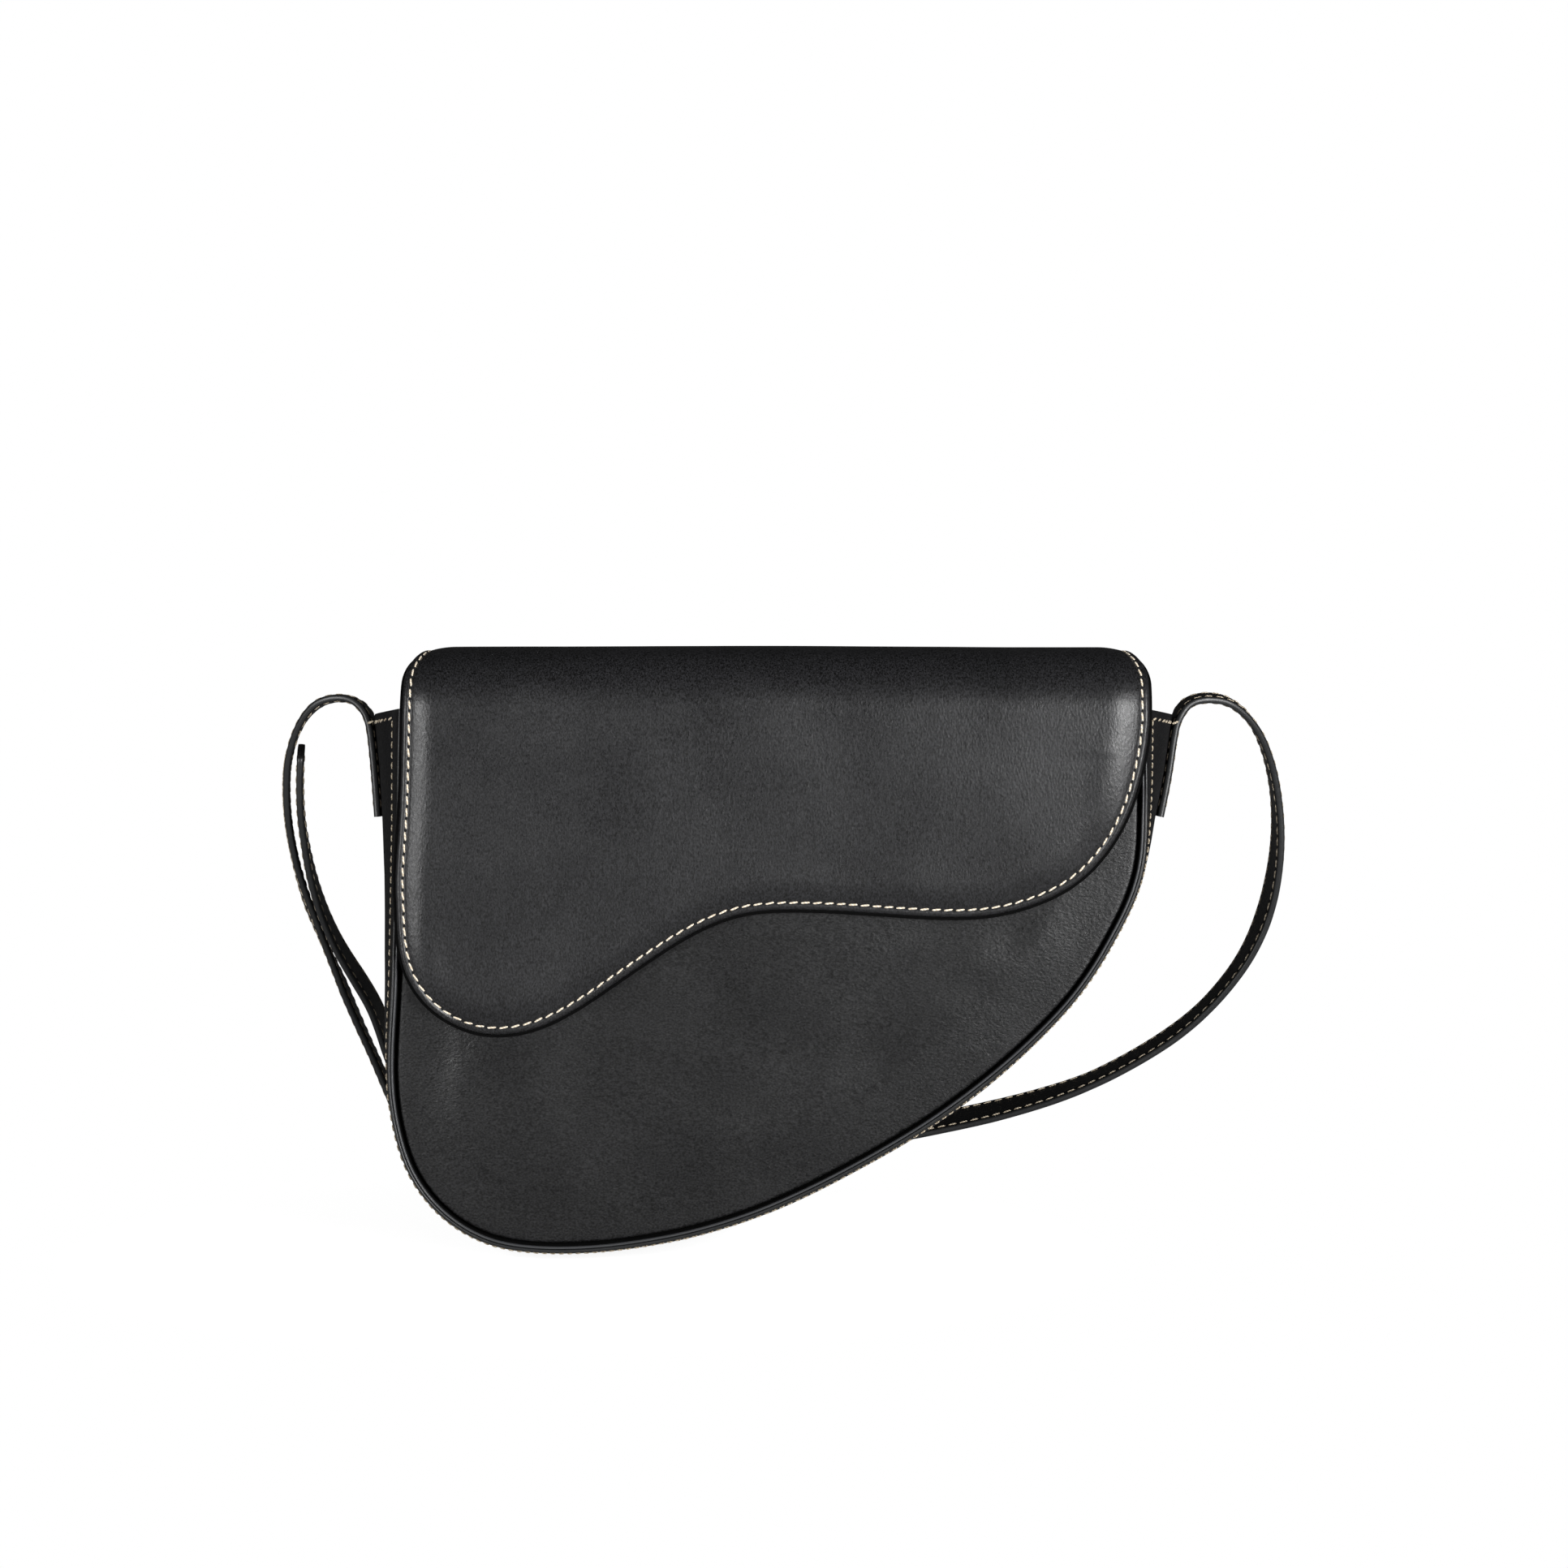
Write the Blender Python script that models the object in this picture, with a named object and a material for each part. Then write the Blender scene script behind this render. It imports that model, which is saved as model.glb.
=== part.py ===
# A small leather shoulder bag with a wavy front flap, a soft gusset and a buckled strap.
#
# Metres, +Z up, the front faces -Y. The origin is the middle of the back panel's flat face,
# so the back rim lies in the plane Y = 0 and the front rim in the plane Y = -BODY_DEPTH.
# Every piece is its own object. Pieces that move hang from an empty on their joint's axis.

import bmesh
import bpy
import numpy as np
from math import asin, cos, pi, radians, sin, sqrt
from mathutils import Vector

# The body: rim to rim, lowest point to the panels' top edge, front rim to back rim
BODY_WIDTH = 0.283
BODY_HEIGHT = 0.2025
BODY_DEPTH = 0.070
HOLD_HEIGHT = 0.110

# Sheets
GUSSET_LEATHER = 0.0016
PANEL_LEATHER = 0.0015
BOARD = 0.0012
LINING = 0.0008
POUCH_CLOTH = 0.0005
CLEARANCE = 0.0003

# The rim that stands round each panel, and the pillow inside it
RIM_REACH = 0.005
GROOVE_WIDTH = 0.0018
PILLOW_EDGE = 0.014
FRONT_PILLOW_SINK = 0.0025
SEAM_ALLOWANCE = 0.0068

# The soft gusset
TOP_BULGE = 0.0122
BASE_BULGE = 0.004
GUSSET_DIP = 0.0022
BULGE_EASE = 3.0
FACING_HEIGHT = 0.026
FACING_INSET = 0.009

# The flap
FLAP_RISE = 0.023
FLAP_STANDOFF = 0.0015
FLAP_LEATHER = 0.0015
FLAP_PAD = 0.001
FLAP_LINING = 0.0008
FRONT_ROLL = 0.024
REAR_ROLL = 0.014
FLAP_TAIL = 0.0305
FLAP_PAD_INSET = 0.009

# The magnetic snap
SNAP_RADIUS = 0.009
SNAP_CUP_DEPTH = 0.0011
SNAP_CUP_RADIUS = 0.0055
SNAP_POST_RADIUS = 0.003
SNAP_HEIGHT_OVER_HEM = 0.032
WASHER = 0.0007

# The strap and its buckle
STRAP_WIDTH = 0.018
STRAP_THICKNESS = 0.0027
STRAP_CHAMFER = 0.0007
STRAP_SEWN_LENGTH = 0.0385
STRAP_SEAT = 0.0006
STRAP_SPREAD = 0.040
STRAP_SET_BACK = 0.059
FOLD_LEATHER = 0.0013
FOLD_LENGTH = 0.024
BUCKLE_OVER_BASE = 0.0235
BUCKLE_WIRE_RADIUS = 0.0015
BUCKLE_LENGTH = 0.017
BUCKLE_CORNER = 0.0022
BUCKLE_SLACK = 0.0012
PRONG_THICKNESS = 0.0018
PRONG_WIDTH = 0.0026
PRONG_SLOT = 0.0040
KEEPER_LEATHER = 0.0014
KEEPER_WIDTH = 0.006
FIXED_KEEPER_BACK = 0.018
SLIDING_KEEPER_BACK = 0.033
STRAIGHT_BACK = 0.048
STRAIGHT_FORE = 0.026

# The zip pocket on the back lining
ZIP_LENGTH = 0.140
ZIP_DROP = 0.0465
ZIP_WINDOW = 0.012
TAPE = 0.0006
TAPE_WIDTH = 0.013
TEETH_DEPTH = 0.0015
TEETH_HEIGHT = 0.0015
TEETH_GAP = 0.0014
POUCH_HEIGHT = 0.085
POUCH_ROOM = 0.0006
SLIDER_LENGTH = 0.009
SLIDER_HEIGHT = 0.008
SLIDER_PLATE = 0.0008
CROWN_LENGTH = 0.0064
CROWN_RISE = 0.0033
CROWN_WIDTH = 0.0022
CROWN_WIRE = 0.0010
PULLER_LENGTH = 0.026
PULLER_WIDTH = 0.0060
PULLER_THICKNESS = 0.0014
PULLER_EYE = 0.0039

# The outline of both panels, from the top left corner round the base to the top right one,
# as shares of BODY_WIDTH from the middle and of BODY_HEIGHT from the base
OUTLINE_SHARES = (
    (-0.482, 1.000), (-0.485, 0.833), (-0.488, 0.694), (-0.491, 0.560),
    (-0.495, 0.440), (-0.498, 0.320), (-0.492, 0.246), (-0.482, 0.185),
    (-0.462, 0.125), (-0.426, 0.066), (-0.367, 0.017), (-0.271, 0.000),
    (-0.153, 0.015), (-0.025, 0.061), (0.103, 0.142), (0.232, 0.249),
    (0.337, 0.365), (0.418, 0.485), (0.470, 0.605), (0.495, 0.694),
    (0.502, 0.784), (0.502, 0.888), (0.500, 1.000),
)

# The flap's hem from its left side to its right side, in the same shares
HEM_SHARES = (
    (-0.477, 0.619), (-0.472, 0.549), (-0.460, 0.505), (-0.438, 0.460),
    (-0.418, 0.438), (-0.387, 0.415), (-0.349, 0.403), (-0.300, 0.415),
    (-0.252, 0.446), (-0.205, 0.487), (-0.152, 0.538), (-0.109, 0.576),
    (-0.046, 0.620), (0.009, 0.632), (0.049, 0.634), (0.090, 0.632),
    (0.144, 0.626), (0.198, 0.622), (0.239, 0.620), (0.279, 0.624),
    (0.319, 0.634), (0.347, 0.644), (0.379, 0.661), (0.411, 0.688),
    (0.442, 0.733), (0.465, 0.782), (0.480, 0.831), (0.490, 0.875),
    (0.496, 0.920), (0.500, 0.972),
)

# The strap's strands: shares of STRAP_SPREAD outwards from the sewn end, of STRAP_SET_BACK
# back from the bag's middle, and of BODY_HEIGHT from the base
LEFT_LOOP_SHARES = ((0.053, 0.02, 0.9980), (0.125, 0.02, 1.0119), (0.226, 0.03, 1.0209))
RIGHT_LOOP_SHARES = ((0.044, 0.00, 0.9918), (0.106, 0.00, 1.0078), (0.207, 0.02, 1.0186))
LEFT_CREST_SHARES = (0.337, 0.03, 1.0230)
RIGHT_CREST_SHARES = (0.339, 0.03, 1.0230)
SHORT_STRAND_SHARES = (
    (0.458, 0.07, 1.0161), (0.577, 0.10, 1.0031), (0.681, 0.15, 0.9809),
    (0.852, 0.25, 0.9169), (0.921, 0.34, 0.8482), (0.914, 0.44, 0.7695),
    (0.863, 0.53, 0.7068), (0.782, 0.63, 0.6345), (0.624, 0.73, 0.5373),
    (0.422, 0.83, 0.4395), (0.205, 0.92, 0.3417), (0.020, 0.98, 0.2511),
    (-0.168, 1.00, 0.1751), (-0.428, 1.00, 0.1364),
)
TAIL_SHARES = (
    (-0.698, 1.00, 0.1466), (-0.518, 1.00, 0.1608), (-0.342, 1.00, 0.1973),
    (-0.140, 1.00, 0.2488), (-0.017, 0.98, 0.2958), (0.046, 0.92, 0.3417),
    (0.119, 0.86, 0.3906), (0.182, 0.80, 0.4316), (0.295, 0.74, 0.4806),
    (0.439, 0.66, 0.5371), (0.559, 0.58, 0.5927), (0.638, 0.50, 0.6485),
    (0.693, 0.43, 0.7046), (0.733, 0.36, 0.7609), (0.747, 0.30, 0.8075),
    (0.727, 0.24, 0.8703), (0.691, 0.19, 0.9239),
)
LONG_STRAND_SHARES = (
    (0.479, 0.05, 1.0155), (0.619, 0.08, 1.0007), (0.718, 0.12, 0.9836),
    (0.831, 0.17, 0.9547), (0.919, 0.22, 0.9248), (1.002, 0.27, 0.8950),
    (1.054, 0.32, 0.8567), (1.090, 0.37, 0.8097), (1.120, 0.42, 0.7467),
    (1.106, 0.47, 0.6988), (1.076, 0.53, 0.6444), (1.001, 0.58, 0.5877),
    (0.882, 0.63, 0.5322), (0.737, 0.68, 0.4757), (0.535, 0.73, 0.4343),
    (0.302, 0.76, 0.3904), (0.015, 0.80, 0.3448), (-0.301, 0.83, 0.3080),
    (-0.651, 0.86, 0.2692), (-1.011, 0.90, 0.2397), (-1.410, 0.93, 0.2139),
    (-1.808, 0.97, 0.1924), (-2.285, 1.00, 0.1731), (-2.995, 1.00, 0.1456),
    (-3.645, 1.00, 0.1222), (-3.995, 1.00, 0.1110),
)

# How far the strap's face turns towards the front, in degrees, at even steps along it
LONG_ROLL_DEGREES = (0, 0, 0, 2, 8, 18, 24, 22, 12, 3, 0)
TAIL_ROLL_DEGREES = (0, 0, 4, 12, 16, 12, 8, 8)

STATIONS = 58
FLAP_COLUMNS = 44
ROLL_STEPS = 4
SPLINE_STEPS = 16
ROUND_STEPS = 20
GUSSET_STEPS = 6

# The buckle's place to the left of the middle, as a share of BODY_WIDTH
BUCKLE_SHARE = 0.2332

HALF_STRAP = STRAP_WIDTH / 2
BUCKLE_X = -BUCKLE_SHARE * BODY_WIDTH
BUCKLE_Y = STRAP_SET_BACK - BODY_DEPTH / 2


def up(share):
    """Height of a share of the body's height over the base."""
    return share * BODY_HEIGHT - HOLD_HEIGHT


TOP = up(1)
BASE = up(0)
BUCKLE_Z = BASE + BUCKLE_OVER_BASE


def smooth_line(points, count):
    """Count evenly spaced points on one smooth curve through the given points."""
    points = np.array([tuple(p) for p in points])
    spans = np.sqrt(np.linalg.norm(np.diff(points, axis=0), axis=1))
    size = len(points)
    bend = np.eye(size)
    pull = np.zeros_like(points)
    for i in range(1, size - 1):
        bend[i, i - 1 : i + 2] = spans[i - 1], 2 * (spans[i - 1] + spans[i]), spans[i]
        pull[i] = 6 * (
            (points[i + 1] - points[i]) / spans[i] - (points[i] - points[i - 1]) / spans[i - 1]
        )
    second = np.linalg.solve(bend, pull)
    fine = []
    for i in range(size - 1):
        for t in np.linspace(0, 1, SPLINE_STEPS, endpoint=False):
            s = 1 - t
            sag = (s**3 - s) * second[i] + (t**3 - t) * second[i + 1]
            fine.append(s * points[i] + t * points[i + 1] + sag * spans[i] ** 2 / 6)
    fine = np.array(fine + [points[-1]])
    along = np.concatenate(([0], np.cumsum(np.linalg.norm(np.diff(fine, axis=0), axis=1))))
    even = np.linspace(0, along[-1], count)
    return [Vector([np.interp(e, along, fine[:, k]) for k in range(3)]) for e in even]


def material(name, colour, roughness, metallic=0.0):
    found = bpy.data.materials.get(name)
    if found:
        return found
    made = bpy.data.materials.new(name)
    made.use_nodes = True
    shader = made.node_tree.nodes["Principled BSDF"]
    shader.inputs["Base Color"].default_value = (*colour, 1)
    shader.inputs["Roughness"].default_value = roughness
    shader.inputs["Metallic"].default_value = metallic
    return made


FINISHES = {
    "black leather": ((0.022, 0.022, 0.023), 0.42, 0.0),
    "black lining": ((0.018, 0.018, 0.020), 0.85, 0.0),
    "grey board": ((0.20, 0.19, 0.18), 0.90, 0.0),
    "grey foam": ((0.30, 0.30, 0.31), 0.95, 0.0),
    "dark nickel": ((0.35, 0.34, 0.33), 0.28, 1.0),
    "zip tape": ((0.015, 0.015, 0.016), 0.80, 0.0),
}


def finish_piece(bm, name, finish, smooth=False):
    """One closed body from the mesh, with its faces turned outwards."""
    bmesh.ops.remove_doubles(bm, verts=bm.verts, dist=CLEARANCE / 100)
    bmesh.ops.recalc_face_normals(bm, faces=bm.faces)
    mesh = bpy.data.meshes.new(name)
    bm.to_mesh(mesh)
    bm.free()
    if smooth:
        mesh.shade_smooth()
        mesh.set_sharp_from_angle(angle=radians(35))
    piece = bpy.data.objects.new(name, mesh)
    bpy.context.collection.objects.link(piece)
    piece.data.materials.append(material(finish, *FINISHES[finish]))
    return piece


def loft_mesh(rings, closed_section=True, closed_path=False):
    """A sheet through the rings of points, one ring for each station of its path."""
    rings = [list(ring) + [ring[0]] * closed_section for ring in rings]
    rings = rings + [rings[0]] * closed_path
    columns, rows = len(rings) - 1, len(rings[0]) - 1
    bm = bmesh.new()
    bmesh.ops.create_grid(bm, x_segments=columns, y_segments=rows, size=1)
    for v in bm.verts:
        column = round((v.co.x + 1) / 2 * columns)
        row = round((v.co.y + 1) / 2 * rows)
        v.co = rings[column][row]
    bmesh.ops.remove_doubles(bm, verts=bm.verts, dist=CLEARANCE / 100)
    return bm


def loft(name, finish, rings, closed_path=False, smooth=True):
    """A closed body through closed rings, capped at both ends unless its path is closed."""
    bm = loft_mesh(rings, True, closed_path)
    if not closed_path:
        bmesh.ops.holes_fill(bm, edges=[e for e in bm.edges if e.is_boundary], sides=0)
    return finish_piece(bm, name, finish, smooth)


def prism(name, finish, corners, rise, smooth=False):
    """A flat outline pushed along the vector rise."""
    bm = bmesh.new()
    face = bm.faces.new([bm.verts.new(c) for c in corners])
    pushed = bmesh.ops.extrude_face_region(bm, geom=[face])["geom"]
    moved = [g for g in pushed if isinstance(g, bmesh.types.BMVert)]
    bmesh.ops.translate(bm, vec=rise, verts=moved)
    return finish_piece(bm, name, finish, smooth)


def box(name, finish, low, high):
    """A box from its lowest to its highest corner."""
    low, high = Vector(low), Vector(high)
    corners = [
        (low.x, low.y, low.z),
        (high.x, low.y, low.z),
        (high.x, high.y, low.z),
        (low.x, high.y, low.z),
    ]
    return prism(name, finish, corners, (0, 0, high.z - low.z))


def disc(name, finish, centre, radius, y_to):
    """A round plate that faces the front, from the centre's Y to y_to."""
    corners = [
        (centre[0] + radius * cos(a), centre[1], centre[2] + radius * sin(a))
        for a in np.linspace(0, 2 * pi, ROUND_STEPS, endpoint=False)
    ]
    return prism(name, finish, corners, (0, y_to - centre[1], 0), True)


def carve(piece, cutter, operation="DIFFERENCE"):
    """Cuts the cutter out of the piece, or joins it on, and leaves it as a guide."""
    step = piece.modifiers.new(operation.title() + " " + cutter.name, "BOOLEAN")
    step.operation = operation
    step.solver = "EXACT"
    step.object = cutter
    cutter.hide_render = True
    cutter.display_type = "WIRE"


# The outline's stations and their outward normals
OUTLINE = smooth_line(
    [(x * BODY_WIDTH, 0, up(z)) for x, z in OUTLINE_SHARES],
    STATIONS,
)


def outward(i):
    if i == 0:
        return Vector((-1, 0, 0))
    if i == STATIONS - 1:
        return Vector((1, 0, 0))
    run = OUTLINE[i + 1] - OUTLINE[i - 1]
    return Vector((run.z, 0, -run.x)).normalized()


def rim_point(i, offset, y):
    """The point offset outwards from the outline at station i, at the depth y."""
    p = OUTLINE[i] + outward(i) * offset
    return Vector((p.x, y, p.z))


def bulge(height, y):
    """How far the gusset stands out from the outline at a height and depth."""
    free = BODY_DEPTH - 2 * SEAM_ALLOWANCE
    t = (y + BODY_DEPTH - SEAM_ALLOWANCE) / free
    steps = np.linspace(0, 1, GUSSET_STEPS + 1)
    across = float(np.interp(t, steps, np.sin(pi * steps)))
    start = up(0.3)
    rise = max(0, (height - start) / (TOP - start)) ** BULGE_EASE
    return across * (BASE_BULGE + (TOP_BULGE - BASE_BULGE) * rise)


def gusset_band(name, finish, outer, inner, y_front, y_back):
    """The U-shaped strip between the panels, from offset outer to offset inner."""
    front = -BODY_DEPTH + SEAM_ALLOWANCE
    back = -SEAM_ALLOWANCE
    depths = [y_front] + [
        y for y in np.linspace(front, back, GUSSET_STEPS + 1) if y_front < y < y_back
    ]
    depths.append(y_back)
    rings = []
    for i in range(STATIONS):
        last = i in (0, STATIONS - 1)
        ring = []
        for offset, ys in ((outer, depths), (inner, depths[::-1])):
            for y in ys:
                stand = bulge(OUTLINE[i].z, y)
                p = rim_point(i, offset + stand, y)
                if last:
                    p.z -= GUSSET_DIP * stand / TOP_BULGE
                ring.append(p)
        rings.append(ring)
    return loft(name, finish, rings)


# Offsets from the outline, inwards
FLANGE_OUT = -(GUSSET_LEATHER + CLEARANCE)
FLANGE_IN = FLANGE_OUT - PANEL_LEATHER
GROOVE_IN = FLANGE_IN - GROOVE_WIDTH
LINING_OUT = FLANGE_OUT
PILLOW_STEPS = (1, 0.65, 0.35, 0.12)


def pillow_depth(step, sink):
    """Depth of the pillow's face behind the rim, at a step from its edge, 0, to its top, 1."""
    return sink + (RIM_REACH - sink) * (1 - sqrt(1 - (1 - step) ** 2))


def panel_shell(name, finish, section, side):
    """A body whose section runs from its front middle round its edge to its back middle."""
    rings = [
        [rim_point(i, offset, depth_y(side, depth)) for offset, depth in section]
        for i in range(STATIONS)
    ]
    bm = loft_mesh(rings, closed_section=False)
    loop = [e for e in bm.edges if e.is_boundary]
    ends = {}
    for v in {v for e in loop for v in e.verts}:
        ends[tuple(round(c / CLEARANCE) for c in v.co)] = v

    def vert(ring, k):
        return ends[tuple(round(c / CLEARANCE) for c in Vector(ring[k]))]

    face = [vert(ring, 0) for ring in rings]
    rear = [vert(ring, -1) for ring in rings]
    count = len(section)
    top = [vert(rings[0], k) for k in range(count)]
    top += [vert(rings[-1], k) for k in reversed(range(count))]
    for corners in (face, rear, top):
        bm.faces.new(corners)
    return finish_piece(bm, name, finish, True)


def depth_y(side, depth):
    """Y of a depth behind the front rim, or behind the back rim."""
    return -BODY_DEPTH + depth if side == "front" else -depth


def sink_of(side):
    return FRONT_PILLOW_SINK if side == "front" else 0


PANEL_BACK = RIM_REACH + PANEL_LEATHER
BOARD_DEPTH = PANEL_BACK + CLEARANCE
BOARD_BACK = BOARD_DEPTH + BOARD


def outer_panel(side):
    """The leather panel: a flange turned into the rim, a groove, and the pillow."""
    sink = sink_of(side)
    face = [
        (GROOVE_IN - step * PILLOW_EDGE, pillow_depth(step, sink)) for step in PILLOW_STEPS
    ]
    rear = [(offset, depth + PANEL_LEATHER) for offset, depth in face[::-1]]
    edge = [
        (GROOVE_IN, RIM_REACH),
        (FLANGE_IN, RIM_REACH),
        (FLANGE_IN, 0),
        (FLANGE_OUT, 0),
        (FLANGE_OUT, PANEL_BACK),
        (GROOVE_IN, PANEL_BACK),
    ]
    return panel_shell(side + "_panel", "black leather", face + edge + rear, side)


def pillow_foam(side):
    """The foam under the leather that makes the pillow."""
    sink = sink_of(side)
    shift = PANEL_LEATHER + CLEARANCE
    steps = PILLOW_STEPS[:3]
    face = [
        (GROOVE_IN - step * PILLOW_EDGE, pillow_depth(step, sink) + shift) for step in steps
    ]
    rear = [(face[-1][0], PANEL_BACK), (face[0][0], PANEL_BACK)]
    return panel_shell(side + "_foam", "grey foam", face + rear, side)


def inner_plate(name, finish, side, depth, thickness):
    """A flat sheet with the panels' outline, fitted inside the gusset."""
    y = depth_y(side, depth)
    corners = [rim_point(i, LINING_OUT, y) for i in range(STATIONS)]
    push = depth_y(side, depth + thickness) - y
    return prism(name, finish, corners, (0, push, 0))


# Depths of the layers behind the back rim
POUCH_REAR = BOARD_BACK + CLEARANCE
POUCH_FACE = POUCH_REAR + 2 * POUCH_CLOTH + POUCH_ROOM
TAPE_REAR = POUCH_FACE + CLEARANCE
TAPE_FACE = TAPE_REAR + TAPE
BACK_LINING_DEPTH = TAPE_FACE + CLEARANCE
BACK_LINING_FACE = BACK_LINING_DEPTH + LINING
FRONT_LINING_DEPTH = BOARD_BACK + CLEARANCE
FRONT_LINING_FACE = FRONT_LINING_DEPTH + LINING
ZIP_X = -0.04 * BODY_WIDTH
ZIP_Z = TOP - ZIP_DROP


def body_pieces():
    """The shell: gusset, panels, foam, boards, linings and facings."""
    gusset_band("gusset", "black leather", 0, -GUSSET_LEATHER, -BODY_DEPTH, 0)
    lining_front = depth_y("front", FRONT_LINING_FACE + CLEARANCE)
    lining_back = depth_y("back", BACK_LINING_FACE + CLEARANCE)
    lining_out = -(GUSSET_LEATHER + 2 * CLEARANCE)
    gusset_band(
        "gusset_lining",
        "black lining",
        lining_out,
        lining_out - LINING,
        lining_front,
        lining_back,
    )
    for side in ("front", "back"):
        outer_panel(side)
        pillow_foam(side)
        inner_plate(side + "_board", "grey board", side, BOARD_DEPTH, BOARD)
    seat = box(
        "flap_seat_cutter",
        "black leather",
        (OUTLINE[0].x - GROOVE_IN, -CLEARANCE, TOP - FLAP_TAIL - CLEARANCE),
        (OUTLINE[-1].x + GROOVE_IN, CLEARANCE, TOP + CLEARANCE),
    )
    carve(bpy.data.objects["back_panel"], seat)
    inner_plate("front_lining", "black lining", "front", FRONT_LINING_DEPTH, LINING)
    inner_plate("back_lining", "black lining", "back", BACK_LINING_DEPTH, LINING)
    for side, face in (("front", FRONT_LINING_FACE), ("back", BACK_LINING_FACE)):
        near = depth_y(side, face + CLEARANCE)
        far = depth_y(side, face + CLEARANCE + PANEL_LEATHER)
        box(
            side + "_facing",
            "black leather",
            (OUTLINE[0].x + FACING_INSET, min(near, far), TOP - FACING_HEIGHT),
            (OUTLINE[-1].x - FACING_INSET, max(near, far), TOP),
        )


# The flap's layers, as distances in from its outer face
FLAP_TOTAL = FLAP_LEATHER + FLAP_PAD + FLAP_LINING + 2 * CLEARANCE
LEATHER_LAYER = (0, FLAP_LEATHER)
LINING_LAYER = (FLAP_TOTAL - FLAP_LINING, FLAP_TOTAL)
PAD_LAYER = (FLAP_LEATHER + CLEARANCE, FLAP_LEATHER + CLEARANCE + FLAP_PAD)
FLAP_TOP = TOP + FLAP_RISE
FLAP_FRONT_Y = -(BODY_DEPTH + FLAP_STANDOFF + FLAP_TOTAL)
FLAP_BACK_Y = CLEARANCE + FLAP_TOTAL
FRONT_CENTRE = Vector((0, FLAP_FRONT_Y + FRONT_ROLL, FLAP_TOP - FRONT_ROLL))
REAR_CENTRE = Vector((0, FLAP_BACK_Y - REAR_ROLL, FLAP_TOP - REAR_ROLL))
HALF_TURN = pi / 4
FLAP_BEND_AXIS = FRONT_CENTRE + Vector((0, -FRONT_ROLL, FRONT_ROLL)) / sqrt(2)
FLAP_LIFT_AXIS = REAR_CENTRE + Vector((0, REAR_ROLL, REAR_ROLL)) / sqrt(2)

HEM = smooth_line([(x * BODY_WIDTH, 0, up(z)) for x, z in HEM_SHARES], FLAP_COLUMNS)
FLAP_LEFT = HEM[0].x
FLAP_RIGHT = HEM[-1].x


def roll_arc(centre, radius, start, end):
    """Points (y, z) on a roll, from the angle start to end, measured from the front."""
    return [
        (centre.y - radius * cos(a), centre.z + radius * sin(a))
        for a in np.linspace(start, end, ROLL_STEPS + 1)
    ]


def half_gap(radius):
    return CLEARANCE / 2 / radius


def flap_layer_path(part, depth):
    """The (y, z) path of one face of a flap layer, over one of the flap's three parts."""
    front, rear = FRONT_ROLL - depth, REAR_ROLL - depth
    if part == "front":
        return roll_arc(FRONT_CENTRE, front, HALF_TURN - half_gap(FRONT_ROLL), 0)
    if part == "top":
        return roll_arc(
            FRONT_CENTRE, front, HALF_TURN + half_gap(FRONT_ROLL), pi / 2
        ) + roll_arc(REAR_CENTRE, rear, pi / 2, 3 * HALF_TURN - half_gap(REAR_ROLL))
    tail = (REAR_CENTRE.y + rear, TOP - FLAP_TAIL)
    return roll_arc(REAR_CENTRE, rear, 3 * HALF_TURN + half_gap(REAR_ROLL), pi) + [tail]


def flap_strip(name, finish, part, layer):
    """A layer of the flap's top or of its sewn rear part, straight across the bag."""
    faces = [flap_layer_path(part, depth) for depth in layer]
    section = faces[0] + faces[1][::-1]
    rings = [[(x, y, z) for y, z in section] for x in (FLAP_LEFT, FLAP_RIGHT)]
    return loft(name, finish, rings)


def flap_apron(name, finish, layer):
    """A layer of the flap's front, down to its wavy hem."""
    faces = [flap_layer_path("front", depth) for depth in layer]
    columns = [Vector((FLAP_LEFT, 0, HEM[0].z))] + HEM[1:-1]
    columns += [Vector((FLAP_RIGHT, 0, HEM[-1].z))]
    rings = []
    for hem in columns:
        outer = faces[0] + [(FRONT_CENTRE.y - FRONT_ROLL + layer[0], hem.z)]
        inner = faces[1] + [(FRONT_CENTRE.y - FRONT_ROLL + layer[1], hem.z)]
        rings.append([(hem.x, y, z) for y, z in outer + inner[::-1]])
    return loft(name, finish, rings)


def flap_padding():
    """The thin pad between the flap's leather and its lining, inside the stitches."""
    inset = []
    for i in range(1, FLAP_COLUMNS - 1):
        run = HEM[i + 1] - HEM[i - 1]
        inward = Vector((-run.z, 0, run.x)).normalized()
        inset.append(HEM[i] + inward * FLAP_PAD_INSET)
    left = FLAP_LEFT + FLAP_PAD_INSET
    right = FLAP_RIGHT - FLAP_PAD_INSET
    kept = [p for p in inset if left < p.x < right]
    y = FLAP_FRONT_Y + PAD_LAYER[0]
    height = FRONT_CENTRE.z
    corners = [(left, y, height), (left, y, kept[0].z)]
    corners += [(p.x, y, p.z) for p in kept]
    corners += [(right, y, kept[-1].z), (right, y, height)]
    pad = prism("flap_front_pad", "grey foam", corners, (0, FLAP_PAD, 0))
    hole = disc(
        "pad_hole_cutter",
        "grey foam",
        (SNAP_X, FLAP_FRONT_Y + LEATHER_LAYER[0], SNAP_Z),
        SNAP_RADIUS + CLEARANCE,
        FLAP_FRONT_Y + FLAP_TOTAL,
    )
    carve(pad, hole)
    return pad


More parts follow.
